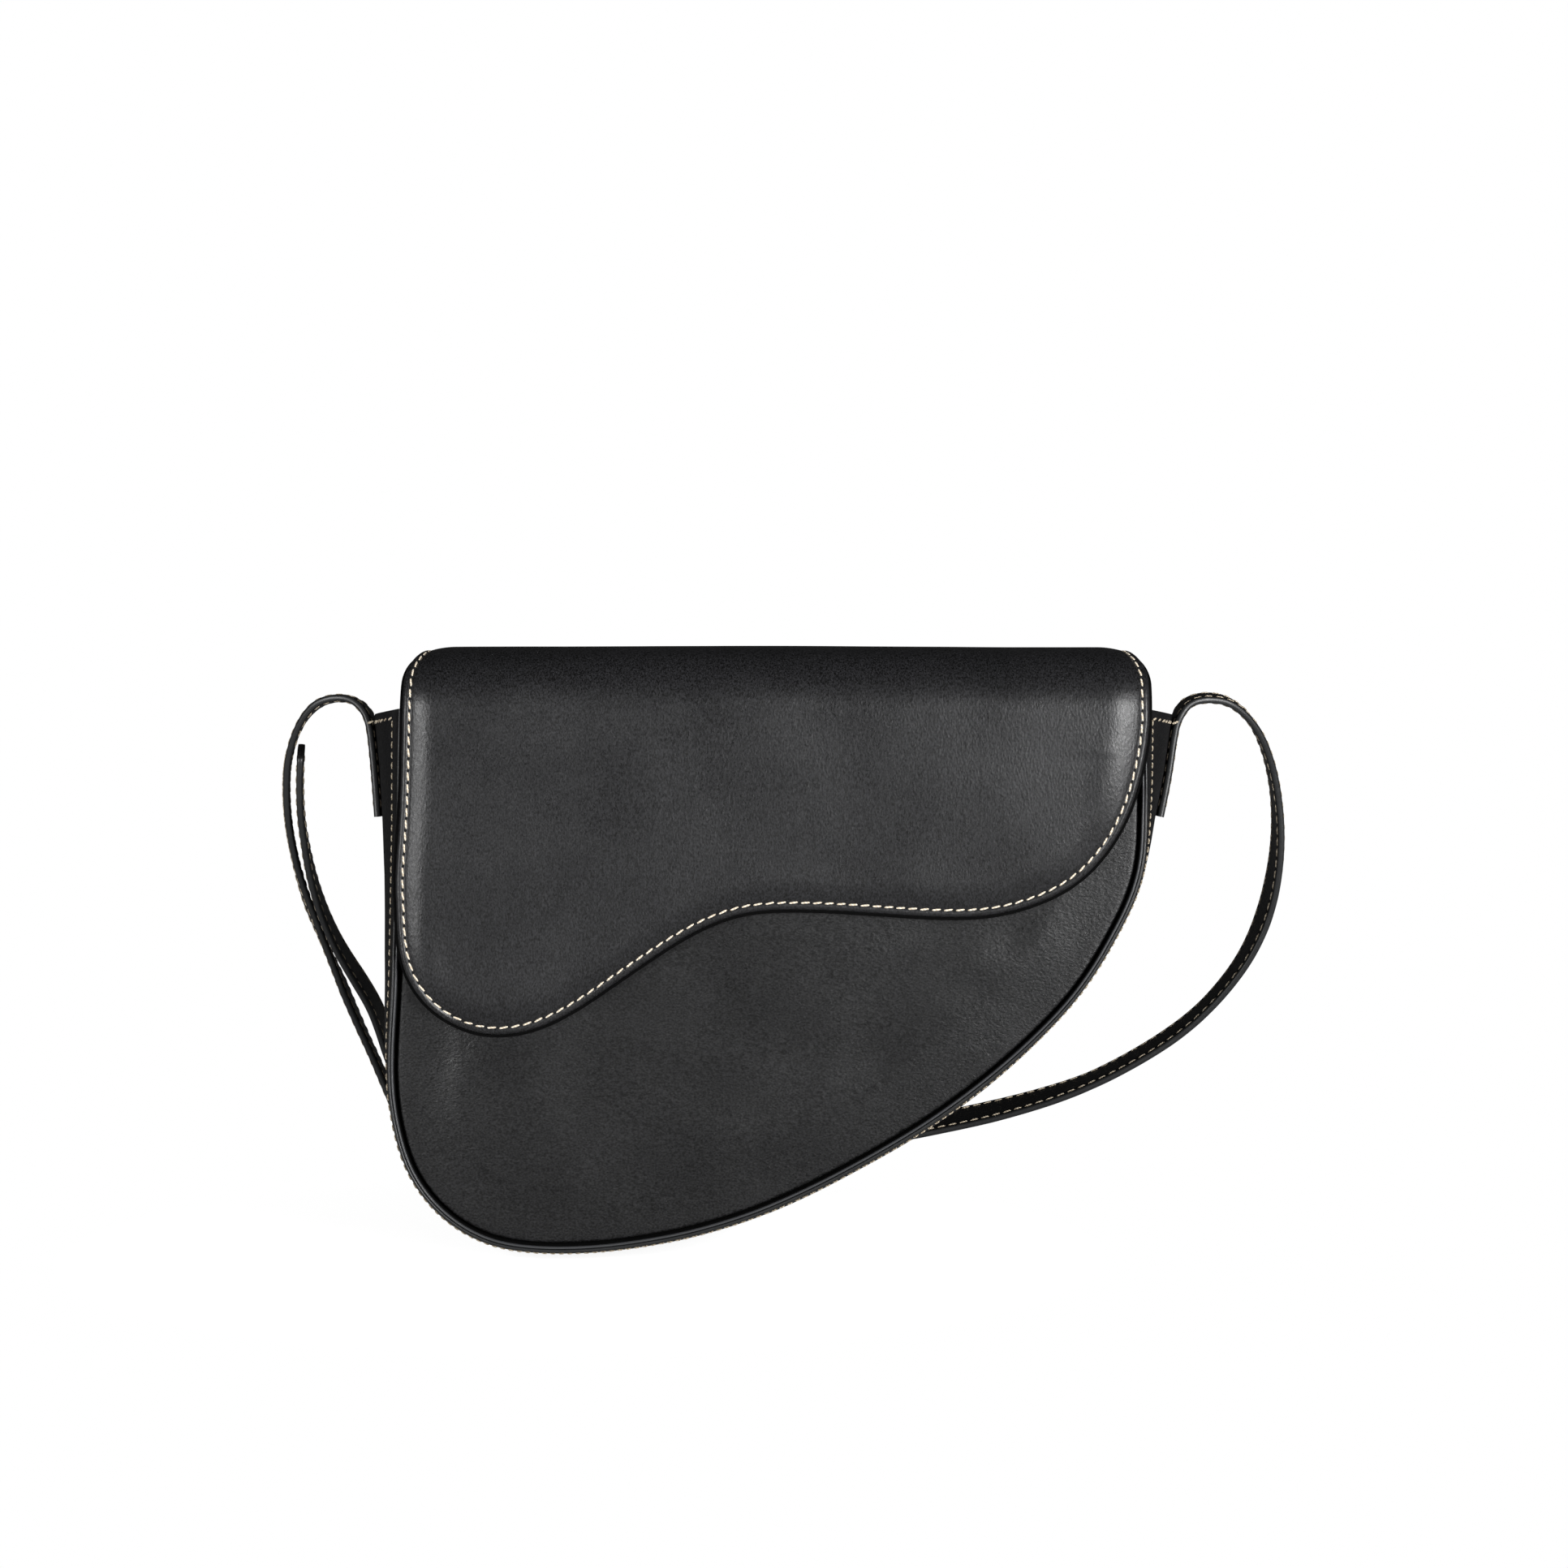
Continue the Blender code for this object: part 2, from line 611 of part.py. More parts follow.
SNAP_X = 0.03 * BODY_WIDTH
SNAP_Z = up(0.64) + SNAP_HEIGHT_OVER_HEM
PANEL_FACE_Y = -BODY_DEPTH + FRONT_PILLOW_SINK
LINING_FACE_Y = FLAP_FRONT_Y + FLAP_TOTAL
SNAP_ROOM = PANEL_FACE_Y - LINING_FACE_Y - 3 * CLEARANCE
STUD_THICKNESS = SNAP_ROOM * 0.4
CUP_THICKNESS = SNAP_ROOM - STUD_THICKNESS


def snap_pieces():
    """The magnetic snap: a cup on the front panel and a stud inside the flap."""
    cup_y = PANEL_FACE_Y - CLEARANCE
    cup = disc("snap_cup", "dark nickel", (SNAP_X, cup_y, SNAP_Z), SNAP_RADIUS, cup_y - CUP_THICKNESS)
    recess = disc(
        "cup_recess_cutter",
        "dark nickel",
        (SNAP_X, cup_y - CUP_THICKNESS + SNAP_CUP_DEPTH, SNAP_Z),
        SNAP_CUP_RADIUS,
        cup_y - CUP_THICKNESS - SNAP_CUP_DEPTH,
    )
    carve(cup, recess)
    stud_y = LINING_FACE_Y + CLEARANCE
    stud = disc("snap_stud", "dark nickel", (SNAP_X, stud_y, SNAP_Z), SNAP_RADIUS, stud_y + STUD_THICKNESS)
    post = disc(
        "stud_post_guide",
        "dark nickel",
        (SNAP_X, stud_y + STUD_THICKNESS / 2, SNAP_Z),
        SNAP_POST_RADIUS,
        stud_y + STUD_THICKNESS + SNAP_CUP_DEPTH,
    )
    carve(stud, post, "UNION")
    washer_y = FLAP_FRONT_Y + PAD_LAYER[0]
    stud_washer = disc(
        "snap_stud_washer",
        "dark nickel",
        (SNAP_X, washer_y, SNAP_Z),
        SNAP_RADIUS,
        washer_y + WASHER,
    )
    cup_washer_y = PANEL_FACE_Y + PANEL_LEATHER + CLEARANCE
    disc(
        "snap_cup_washer",
        "dark nickel",
        (SNAP_X, cup_washer_y, SNAP_Z),
        SNAP_RADIUS,
        cup_washer_y + WASHER,
    )
    foam_hole = disc(
        "foam_hole_cutter",
        "grey foam",
        (SNAP_X, cup_washer_y - PANEL_LEATHER, SNAP_Z),
        SNAP_RADIUS + CLEARANCE,
        depth_y("front", BOARD_BACK),
    )
    carve(bpy.data.objects["front_foam"], foam_hole)
    return stud, stud_washer


# The strap
def gusset_side(side, height):
    """X of the gusset's outer face at the bag's middle depth, at a height on one side."""
    rows = OUTLINE[: STATIONS // 3] if side < 0 else OUTLINE[2 * STATIONS // 3 :]
    heights = [p.z for p in rows]
    xs = [p.x for p in rows]
    if side < 0:
        heights, xs = heights[::-1], xs[::-1]
    return float(np.interp(height, heights, xs)) + side * bulge(height, -BODY_DEPTH / 2)


def strand_point(side, shares):
    """A point of the strap from its shares outwards, backwards and upwards."""
    out, back, high = shares
    seat = gusset_side(side, TOP - GUSSET_DIP)
    x = seat + side * (STRAP_SEAT + STRAP_THICKNESS / 2 + out * STRAP_SPREAD)
    return Vector((x, back * STRAP_SET_BACK - BODY_DEPTH / 2, up(high)))


def sewn_path(side):
    """The strap's sewn end on the gusset, from its cut end up to the gusset's top edge."""
    top = TOP - GUSSET_DIP
    points = []
    for height in np.linspace(top - STRAP_SEWN_LENGTH, top, 5):
        x = gusset_side(side, height) + side * (STRAP_SEAT + STRAP_THICKNESS / 2)
        points.append(Vector((x, -BODY_DEPTH / 2, height)))
    return points


def ribbon_rings(path, side, rolls=(0, 0), thicknesses=None):
    """Sections of a flat strap square to its path. The path runs down from the crest."""
    rings = []
    last = len(path) - 1
    roll_at = np.linspace(0, last, len(rolls))
    for i, p in enumerate(path):
        along = (path[min(i + 1, last)] - path[max(i - 1, 0)]).normalized()
        wide = Vector((0, 1, 0))
        wide = (wide - along * wide.dot(along)).normalized()
        proud = wide.cross(along) * side
        turn = radians(float(np.interp(i, roll_at, rolls)))
        face = proud * cos(turn) - wide * sin(turn)
        wide = wide * cos(turn) + proud * sin(turn)
        half = (thicknesses[i] if thicknesses else STRAP_THICKNESS) / 2
        soft = min(STRAP_CHAMFER, half * 0.8)
        corners = (
            (-HALF_STRAP, half - soft),
            (-HALF_STRAP + soft, half),
            (HALF_STRAP - soft, half),
            (HALF_STRAP, half - soft),
            (HALF_STRAP, soft - half),
            (HALF_STRAP - soft, -half),
            (-HALF_STRAP + soft, -half),
            (-HALF_STRAP, soft - half),
        )
        rings.append([p + wide * a + face * b for a, b in corners])
    return rings


def squared(rings, x):
    """Ends a ribbon's first section in the plane across its crest."""
    for p in rings[0]:
        p.x = x
    return rings


def strap_ends():
    """The two sewn ends, each up to the crest of its loop."""
    for side, name, loop, crest in (
        (-1, "strap_end_left", LEFT_LOOP_SHARES, LEFT_CREST_SHARES),
        (1, "strap_end_right", RIGHT_LOOP_SHARES, RIGHT_CREST_SHARES),
    ):
        top = strand_point(side, crest)
        guide = sewn_path(side)
        guide += [strand_point(side, s) for s in loop] + [top]
        path = smooth_line(guide, 20)[::-1]
        rings = ribbon_rings(path, -side)
        squared(rings, top.x - side * CLEARANCE / 2)
        loft(name, "black leather", rings)


def buckle_point(along, rise):
    """A point in the buckle's own middle plane."""
    return Vector((BUCKLE_X + along, BUCKLE_Y, BUCKLE_Z + rise))


# Heights over the buckle's bar
WRAP_RADIUS = BUCKLE_WIRE_RADIUS + CLEARANCE + FOLD_LEATHER / 2
SHORT_RISE = WRAP_RADIUS
FOLD_RISE = SHORT_RISE - STRAP_THICKNESS / 2 - CLEARANCE - FOLD_LEATHER / 2
TAIL_RISE = SHORT_RISE + STRAP_THICKNESS + CLEARANCE
UNDER_BAR = -(BUCKLE_WIRE_RADIUS + CLEARANCE + STRAP_THICKNESS / 2)
PRONG_RADIUS = BUCKLE_WIRE_RADIUS + CLEARANCE + PRONG_THICKNESS / 2
PRONG_REACH = PRONG_RADIUS + PRONG_THICKNESS / 2 + CLEARANCE


def short_strap():
    """The short strap: from the left crest to its fold round the buckle's bar."""
    crest = strand_point(-1, LEFT_CREST_SHARES)
    guide = [crest] + [strand_point(-1, s) for s in SHORT_STRAND_SHARES]
    for back in (STRAIGHT_BACK, SLIDING_KEEPER_BACK, FIXED_KEEPER_BACK):
        guide.append(buckle_point(-back, SHORT_RISE))
    path = smooth_line(guide, 40)
    thick = [STRAP_THICKNESS] * len(path)
    skive = WRAP_RADIUS * 3
    path.append(buckle_point(-skive, SHORT_RISE))
    thick.append(STRAP_THICKNESS)
    for a in np.linspace(0, pi, 9):
        path.append(buckle_point(WRAP_RADIUS * sin(a), WRAP_RADIUS * cos(a)))
        thick.append(FOLD_LEATHER)
    for t in (0.45, 0.8):
        rise = -WRAP_RADIUS + (FOLD_RISE + WRAP_RADIUS) * t
        path.append(buckle_point(-skive * (0.3 + t), rise))
        thick.append(FOLD_LEATHER)
    for along in (-skive * 1.5, -FOLD_LENGTH):
        path.append(buckle_point(along, FOLD_RISE))
        thick.append(FOLD_LEATHER)
    rings = squared(ribbon_rings(path, -1, (0, 0), thick), crest.x - CLEARANCE / 2)
    strap = loft("strap_short", "black leather", rings)
    slot = box(
        "prong_slot_cutter",
        "black leather",
        buckle_point(-PRONG_REACH, -2 * WRAP_RADIUS) - Vector((0, PRONG_SLOT / 2, 0)),
        buckle_point(2 * WRAP_RADIUS, 2 * WRAP_RADIUS) + Vector((0, PRONG_SLOT / 2, 0)),
    )
    carve(strap, slot)
    return strap


def long_strap():
    """The long strap: from the right crest through the buckle to its free tail."""
    crest = strand_point(1, RIGHT_CREST_SHARES)
    guide = [crest] + [strand_point(1, s) for s in LONG_STRAND_SHARES]
    guide += [buckle_point(STRAIGHT_FORE + BUCKLE_LENGTH, UNDER_BAR)]
    guide += [buckle_point(STRAIGHT_FORE, UNDER_BAR)]
    strand = smooth_line(guide, 60)
    rings = squared(
        ribbon_rings(strand, 1, LONG_ROLL_DEGREES), crest.x + CLEARANCE / 2
    )
    over_heel = WRAP_RADIUS + FOLD_LEATHER / 2 + CLEARANCE + STRAP_THICKNESS / 2
    slope = asin((over_heel - UNDER_BAR) / BUCKLE_LENGTH)
    through = []
    for a in np.linspace(0, slope, 4):
        through.append(buckle_point(BUCKLE_LENGTH + UNDER_BAR * sin(a), UNDER_BAR * cos(a)))
    for a in np.linspace(slope, 0, 4):
        through.append(buckle_point(over_heel * sin(a), over_heel * cos(a)))
    through.append(buckle_point(-FIXED_KEEPER_BACK / 2, TAIL_RISE))
    through.append(buckle_point(-FIXED_KEEPER_BACK, TAIL_RISE))
    guide = [buckle_point(-SLIDING_KEEPER_BACK, TAIL_RISE)]
    guide += [buckle_point(-STRAIGHT_BACK, TAIL_RISE)]
    guide += [strand_point(-1, s) for s in TAIL_SHARES]
    tail = smooth_line(guide, 36)
    rings += ribbon_rings([strand[-1]] + through + [tail[0]], 1)[1:-1]
    rings += ribbon_rings(tail, 1, [-r for r in TAIL_ROLL_DEGREES])
    strap = loft("strap_long", "black leather", rings)
    slot = box(
        "strap_hole_cutter",
        "black leather",
        buckle_point(-PRONG_REACH, 2 * UNDER_BAR) - Vector((0, PRONG_SLOT / 2, 0)),
        buckle_point(BUCKLE_LENGTH * 0.62, 2 * TAIL_RISE) + Vector((0, PRONG_SLOT / 2, 0)),
    )
    carve(strap, slot)
    return strap


def buckle_frame():
    """The bent wire frame: its heel bar carries the fold and the prong."""
    half = HALF_STRAP + BUCKLE_SLACK + BUCKLE_WIRE_RADIUS
    corners = (
        (0, -half, pi),
        (BUCKLE_LENGTH, -half, 1.5 * pi),
        (BUCKLE_LENGTH, half, 0),
        (0, half, 0.5 * pi),
    )
    line = bpy.data.curves.new("buckle_frame", "CURVE")
    line.dimensions = "3D"
    spline = line.splines.new("POLY")
    points = []
    for x, y, start in corners:
        inner_x = BUCKLE_CORNER if x == 0 else BUCKLE_LENGTH - BUCKLE_CORNER
        inner_y = y - BUCKLE_CORNER if y > 0 else y + BUCKLE_CORNER
        for a in np.linspace(start, start + pi / 2, 5):
            centre = buckle_point(inner_x, 0) + Vector((0, inner_y, 0))
            points.append(centre + Vector((cos(a), sin(a), 0)) * BUCKLE_CORNER)
    spline.points.add(len(points) - 1)
    for point, place in zip(spline.points, points):
        point.co = (*place, 1)
    spline.use_cyclic_u = True
    line.bevel_depth = BUCKLE_WIRE_RADIUS
    line.bevel_resolution = 2
    frame = bpy.data.objects.new("buckle_frame", line)
    bpy.context.collection.objects.link(frame)
    line.materials.append(material("dark nickel", *FINISHES["dark nickel"]))
    return frame


def buckle_prong():
    """The prong: a flat rod hooked round the heel bar, its tip on the far bar."""
    radius = PRONG_RADIUS
    path = []
    for a in np.linspace(-0.9 * pi / 2, -3 * pi / 2, 13):
        path.append(buckle_point(radius * cos(a), radius * sin(a)))
    path.append(buckle_point(BUCKLE_LENGTH * 0.5, radius))
    path.append(buckle_point(BUCKLE_LENGTH + BUCKLE_WIRE_RADIUS, radius))
    rings = []
    last = len(path) - 1
    for i, p in enumerate(path):
        along = (path[min(i + 1, last)] - path[max(i - 1, 0)]).normalized()
        face = Vector((0, 1, 0)).cross(along)
        half_w, half_t = PRONG_WIDTH / 2, PRONG_THICKNESS / 2
        rings.append(
            [
                p + Vector((0, a * half_w, 0)) + face * (b * half_t)
                for a, b in ((-1, -1), (1, -1), (1, 1), (-1, 1))
            ]
        )
    return loft("buckle_prong", "dark nickel", rings, smooth=False)


def keeper(name, back, under):
    """A leather loop round the strap's layers, from the height under up to the tail's face."""
    over = TAIL_RISE + STRAP_THICKNESS / 2 + CLEARANCE
    side = HALF_STRAP + BUCKLE_SLACK
    rings = []
    corner = KEEPER_LEATHER
    loop = ((-side, under), (side, under), (side, over), (-side, over))
    middle = Vector((0, 0, (under + over) / 2))
    for y, z in loop:
        out_y = corner if y > 0 else -corner
        out_z = corner if z > middle.z else -corner
        inner = buckle_point(-back, z) + Vector((0, y, 0))
        outer = inner + Vector((0, out_y, out_z))
        half = Vector((KEEPER_WIDTH / 2, 0, 0))
        rings.append([inner - half, inner + half, outer + half, outer - half])
    return loft(name, "black leather", rings, closed_path=True, smooth=False)


# The zip pocket
def zip_box(name, finish, xs, depths, zs):
    """A box on the back wall, between two depths behind the back rim."""
    low = (ZIP_X + xs[0], -depths[1], ZIP_Z + zs[0])
    high = (ZIP_X + xs[1], -depths[0], ZIP_Z + zs[1])
    return box(name, finish, low, high)


TEETH_FACE = TAPE_FACE + CLEARANCE + TEETH_DEPTH
PLATE_FACE = TEETH_FACE + CLEARANCE + SLIDER_PLATE
PIN_DEPTH = PLATE_FACE + CLEARANCE + PULLER_THICKNESS / 2
STOP_LENGTH = 3 * SLIDER_PLATE
SLIDER_X = ZIP_LENGTH / 2 - STOP_LENGTH - CLEARANCE


def zip_pocket():
    """The pocket in the back lining: window, tapes, teeth, stops and cloth pouch."""
    half = ZIP_LENGTH / 2
    window = zip_box(
        "zip_window_cutter",
        "black lining",
        (-half - CLEARANCE, half + CLEARANCE),
        (TAPE_REAR, BACK_LINING_FACE + LINING),
        (-ZIP_WINDOW / 2, ZIP_WINDOW / 2),
    )
    carve(bpy.data.objects["back_lining"], window)
    inner = TEETH_GAP / 2
    for word, way in (("upper", 1), ("lower", -1)):
        zs = sorted((way * inner, way * (inner + TAPE_WIDTH)))
        zip_box(
            "zip_tape_" + word,
            "zip tape",
            (-half - SLIDER_LENGTH, half + SLIDER_LENGTH),
            (TAPE_REAR, TAPE_FACE),
            zs,
        )
        zs = sorted((way * inner, way * (inner + TEETH_HEIGHT)))
        zip_box(
            "zip_teeth_" + word,
            "dark nickel",
            (-half + STOP_LENGTH + CLEARANCE, half - STOP_LENGTH - CLEARANCE),
            (TAPE_FACE + CLEARANCE, TEETH_FACE),
            zs,
        )
    stop = inner + TEETH_HEIGHT
    for word, start in (("left", -half), ("right", half - STOP_LENGTH)):
        zip_box(
            "zip_stop_" + word,
            "dark nickel",
            (start, start + STOP_LENGTH),
            (TAPE_FACE + CLEARANCE, TEETH_FACE),
            (-stop, stop),
        )
    pouch_pieces(half)


def pouch_pieces(half):
    """The pouch: one cloth folded up at its foot, its front side ending under the zip."""
    rear, face = POUCH_REAR, POUCH_FACE
    back_top = ZIP_Z + TAPE_WIDTH
    front_top = ZIP_Z - SLIDER_HEIGHT / 2 - 2 * CLEARANCE
    foot = ZIP_Z - POUCH_HEIGHT
    section = [
        (rear, back_top),
        (rear, foot),
        (face, foot),
        (face, front_top),
        (face - POUCH_CLOTH, front_top),
        (face - POUCH_CLOTH, foot + POUCH_CLOTH),
        (rear + POUCH_CLOTH, foot + POUCH_CLOTH),
        (rear + POUCH_CLOTH, back_top),
    ]
    corners = [(ZIP_X - half, -d, z) for d, z in section]
    prism("pocket_pouch", "black lining", corners, (2 * half, 0, 0))


def zip_slider():
    """The slider: a plate on each side of the tapes, a web between, and the crown."""
    end = SLIDER_X
    start = end - SLIDER_LENGTH
    tall = SLIDER_HEIGHT / 2
    web = TEETH_GAP / 2 - CLEARANCE
    rear = POUCH_REAR + POUCH_CLOTH + CLEARANCE
    rear_face = TAPE_REAR - CLEARANCE
    plate = PLATE_FACE - SLIDER_PLATE
    profile = [
        (rear, -tall), (rear, tall), (rear_face, tall), (rear_face, web),
        (plate, web), (plate, tall), (PLATE_FACE, tall), (PLATE_FACE, -tall),
        (plate, -tall), (plate, -web), (rear_face, -web), (rear_face, -tall),
    ]
    corners = [(ZIP_X + start, -d, ZIP_Z + z) for d, z in profile]
    slider = prism("zip_slider", "dark nickel", corners, (SLIDER_LENGTH, 0, 0))
    middle = ZIP_X + (start + end) / 2
    foot = PLATE_FACE - SLIDER_PLATE / 2
    outer, inner = CROWN_LENGTH / 2, CROWN_LENGTH / 2 - CROWN_WIRE
    high, low = PLATE_FACE + CROWN_RISE, PLATE_FACE + CROWN_RISE - CROWN_WIRE
    arch = [
        (-outer, foot), (-outer, high), (outer, high), (outer, foot),
        (inner, foot), (inner, low), (-inner, low), (-inner, foot),
    ]
    corners = [(middle + x, -d, ZIP_Z - CROWN_WIDTH / 2) for x, d in arch]
    crown = prism("crown_guide", "dark nickel", corners, (0, 0, CROWN_WIDTH))
    carve(slider, crown, "UNION")
    return slider


def zip_puller():
    """The puller: a flat tab whose eye turns in the crown, about an upright pin."""
    middle = SLIDER_X - SLIDER_LENGTH / 2
    bar = PULLER_THICKNESS / 2
    depths = (PIN_DEPTH - bar, PIN_DEPTH + bar)
    high = PULLER_WIDTH / 2
    puller = zip_box(
        "zip_puller",
        "dark nickel",
        (middle - PULLER_LENGTH + bar, middle + bar),
        depths,
        (-high, high),
    )
    eye = zip_box(
        "puller_eye_cutter",
        "dark nickel",
        (middle - bar - PULLER_EYE, middle - bar),
        (PIN_DEPTH - PULLER_THICKNESS, PIN_DEPTH + PULLER_THICKNESS),
        (-CROWN_WIDTH / 2 - CLEARANCE, CROWN_WIDTH / 2 + CLEARANCE),
    )
    carve(puller, eye)
    return puller


def pivot(name, place, parent=None):
    """An empty on a joint's axis. What hangs from it keeps its place."""
    axis = bpy.data.objects.new(name, None)
    bpy.context.collection.objects.link(axis)
    axis.empty_display_size = STRAP_WIDTH
    axis.location = place
    bpy.context.view_layer.update()
    if parent:
        hang(axis, parent)
    return axis


def hang(piece, parent):
    bpy.context.view_layer.update()
    piece.parent = parent
    piece.matrix_parent_inverse = parent.matrix_world.inverted()


def flap_pieces():
    """Three parts of the flap: the sewn rear, the top, and the front with its hem."""
    lift = pivot("flap_lift_axis", FLAP_LIFT_AXIS)
    bend = pivot("flap_bend_axis", FLAP_BEND_AXIS, lift)
    for layer, word, finish in (
        (LEATHER_LAYER, "leather", "black leather"),
        (LINING_LAYER, "lining", "black lining"),
    ):
        flap_strip("flap_rear_" + word, finish, "rear", layer)
        hang(flap_strip("flap_top_" + word, finish, "top", layer), lift)
        hang(flap_apron("flap_front_" + word, finish, layer), bend)
    hang(flap_padding(), bend)
    for piece in snap_pieces():
        hang(piece, bend)


def strap_pieces():
    """The strap: sewn ends, short strap, long strap, buckle and keepers."""
    strap_ends()
    crest = strand_point(-1, LEFT_CREST_SHARES)
    swing = pivot("strap_swing_axis", (0, crest.y, crest.z))
    for piece in (short_strap(), long_strap(), buckle_frame()):
        hang(piece, swing)
    hang(keeper("keeper_fixed", FIXED_KEEPER_BACK, FOLD_RISE - FOLD_LEATHER / 2 - CLEARANCE), swing)
    loose = keeper(
        "keeper_sliding",
        SLIDING_KEEPER_BACK,
        SHORT_RISE - STRAP_THICKNESS / 2 - CLEARANCE,
    )
    hang(loose, swing)
    hang(buckle_prong(), pivot("prong_axis", buckle_point(0, 0), swing))


def zip_pieces():
    zip_pocket()
    slide = pivot("zip_slide_axis", (ZIP_X + SLIDER_X - SLIDER_LENGTH / 2, -PIN_DEPTH, ZIP_Z))
    hang(zip_slider(), slide)
    hang(zip_puller(), slide)


def main():
    for old in list(bpy.data.objects):
        bpy.data.objects.remove(old, do_unlink=True)
    body_pieces()
    flap_pieces()
    strap_pieces()
    zip_pieces()


main()
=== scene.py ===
# The dressed shoulder bag: black leather, cream thread, dark nickel fittings and black twill inside.
# Tables are in millimetres, in the frame of the solids: +Z up, the front faces -Y.

import random
from math import asin, cos, pi, radians, sin, sqrt

import bmesh
import bpy
import numpy as np
from mathutils import Matrix, Vector, noise


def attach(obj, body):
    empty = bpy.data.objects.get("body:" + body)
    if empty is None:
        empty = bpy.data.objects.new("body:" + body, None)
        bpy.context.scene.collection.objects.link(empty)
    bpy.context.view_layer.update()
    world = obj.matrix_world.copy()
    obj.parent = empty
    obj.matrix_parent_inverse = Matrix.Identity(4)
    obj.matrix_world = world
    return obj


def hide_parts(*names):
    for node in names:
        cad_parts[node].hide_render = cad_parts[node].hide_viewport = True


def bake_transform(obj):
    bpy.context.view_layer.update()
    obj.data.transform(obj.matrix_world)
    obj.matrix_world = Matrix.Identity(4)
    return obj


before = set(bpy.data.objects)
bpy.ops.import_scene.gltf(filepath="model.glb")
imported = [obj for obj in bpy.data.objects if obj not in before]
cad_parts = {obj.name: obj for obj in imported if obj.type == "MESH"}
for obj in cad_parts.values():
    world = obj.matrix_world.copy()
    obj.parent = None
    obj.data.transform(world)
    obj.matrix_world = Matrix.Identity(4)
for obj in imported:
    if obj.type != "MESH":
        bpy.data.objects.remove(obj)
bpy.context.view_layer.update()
random.seed(4)
MM = 0.001
FLOOR_Z = -114.4
# Where the bag's lowest point stands on the floor, in metres
FOOT = (-0.07, -0.035, FLOOR_Z * MM)

# Panel outline, (x, z), from the top left corner round the base to the top right corner
OUTLINE = (
    (-136.4, 92.5), (-136.8, 78.1), (-137.1, 63.7), (-137.5, 49.3), (-138.0, 34.9), (-138.4, 20.5),
    (-138.9, 6.1), (-139.4, -8.3), (-140.2, -22.7), (-140.9, -37.1), (-140.5, -51.5), (-138.2, -65.7),
    (-133.7, -79.4), (-125.8, -91.4), (-115.0, -100.9), (-102.1, -107.1), (-87.9, -109.6), (-73.5, -110.0),
    (-59.1, -109.1), (-44.9, -107.2), (-30.7, -104.5), (-16.8, -100.8), (-3.1, -96.2), (10.2, -90.6),
    (23.1, -84.4), (35.9, -77.6), (48.4, -70.5), (60.7, -62.9), (72.5, -54.7), (83.9, -45.9), (94.9, -36.5),
    (105.3, -26.6), (115.0, -16.0), (123.5, -4.3), (130.7, 8.1), (137.0, 21.1), (141.0, 34.9),
    (142.1, 49.3), (142.2, 63.7), (141.9, 78.1), (141.5, 92.5),
)

# Flap hem, (x, z), from the left side to the right side
HEM = (
    (-136.9, 15.2), (-134.2, -3.3), (-123.7, -19.2), (-107.0, -27.6), (-88.8, -26.9), (-72.1, -19.7),
    (-56.7, -9.6), (-41.6, 0.7), (-25.9, 10.2), (-8.7, 16.7), (9.5, 18.3), (27.8, 17.8), (46.1, 16.6),
    (64.4, 15.6), (82.8, 16.2), (100.7, 20.6), (116.8, 29.4), (128.8, 43.2), (136.7, 59.8), (141.1, 77.7),
    (142.2, 86.8),
)

# Strap centre lines, (x, y, z): the sewn ends up to their crests, then each strand from there
LEFT_ROUTE = (
    (-147.6, -35.0, 51.8), (-148.9, -35.0, 70.0), (-150.5, -35.0, 85.1), (-152.1, -34.8, 90.4),
    (-155.4, -34.2, 94.4), (-160.5, -33.2, 96.5), (-168.8, -30.8, 95.7), (-175.9, -27.4, 90.9),
    (-180.9, -23.8, 83.9), (-184.8, -19.3, 73.3), (-186.4, -15.1, 62.1), (-186.4, -9.8, 47.9),
    (-184.3, -2.8, 31.1), (-180.3, 3.5, 14.3), (-174.5, 8.4, -2.2), (-168.3, 13.2, -18.6),
    (-162.0, 17.8, -35.2), (-155.3, 21.5, -51.7), (-149.4, 23.4, -65.8), (-144.6, 23.9, -73.7),
    (-138.1, 24.0, -79.8), (-129.8, 24.0, -83.1), (-117.6, 24.0, -84.1), (-102.3, 24.0, -84.0),
    (-84.0, 24.0, -84.0),
)
RIGHT_ROUTE = (
    (150.0, -35.0, 51.8), (153.4, -35.0, 69.9), (155.7, -35.0, 84.8), (157.5, -34.9, 90.1),
    (160.4, -34.5, 94.2), (165.5, -33.8, 96.5), (174.2, -32.0, 96.3), (182.1, -29.3, 92.2),
    (188.1, -26.0, 85.8), (192.3, -22.4, 78.4), (196.1, -17.8, 67.9), (198.8, -13.3, 53.8),
    (199.5, -9.5, 39.3), (198.4, -5.2, 24.9), (195.4, -1.1, 10.7), (190.1, 2.3, -2.9), (182.5, 5.9, -15.4),
    (170.9, 9.4, -28.8), (156.8, 12.0, -40.1), (141.4, 14.2, -49.6), (125.3, 16.5, -57.6),
    (105.5, 19.1, -64.6), (85.2, 21.9, -70.2), (61.7, 24.1, -75.4), (37.9, 24.0, -80.0),
    (11.1, 24.0, -85.0), (-12.8, 24.0, -88.7), (-40.0, 24.0, -89.7),
)
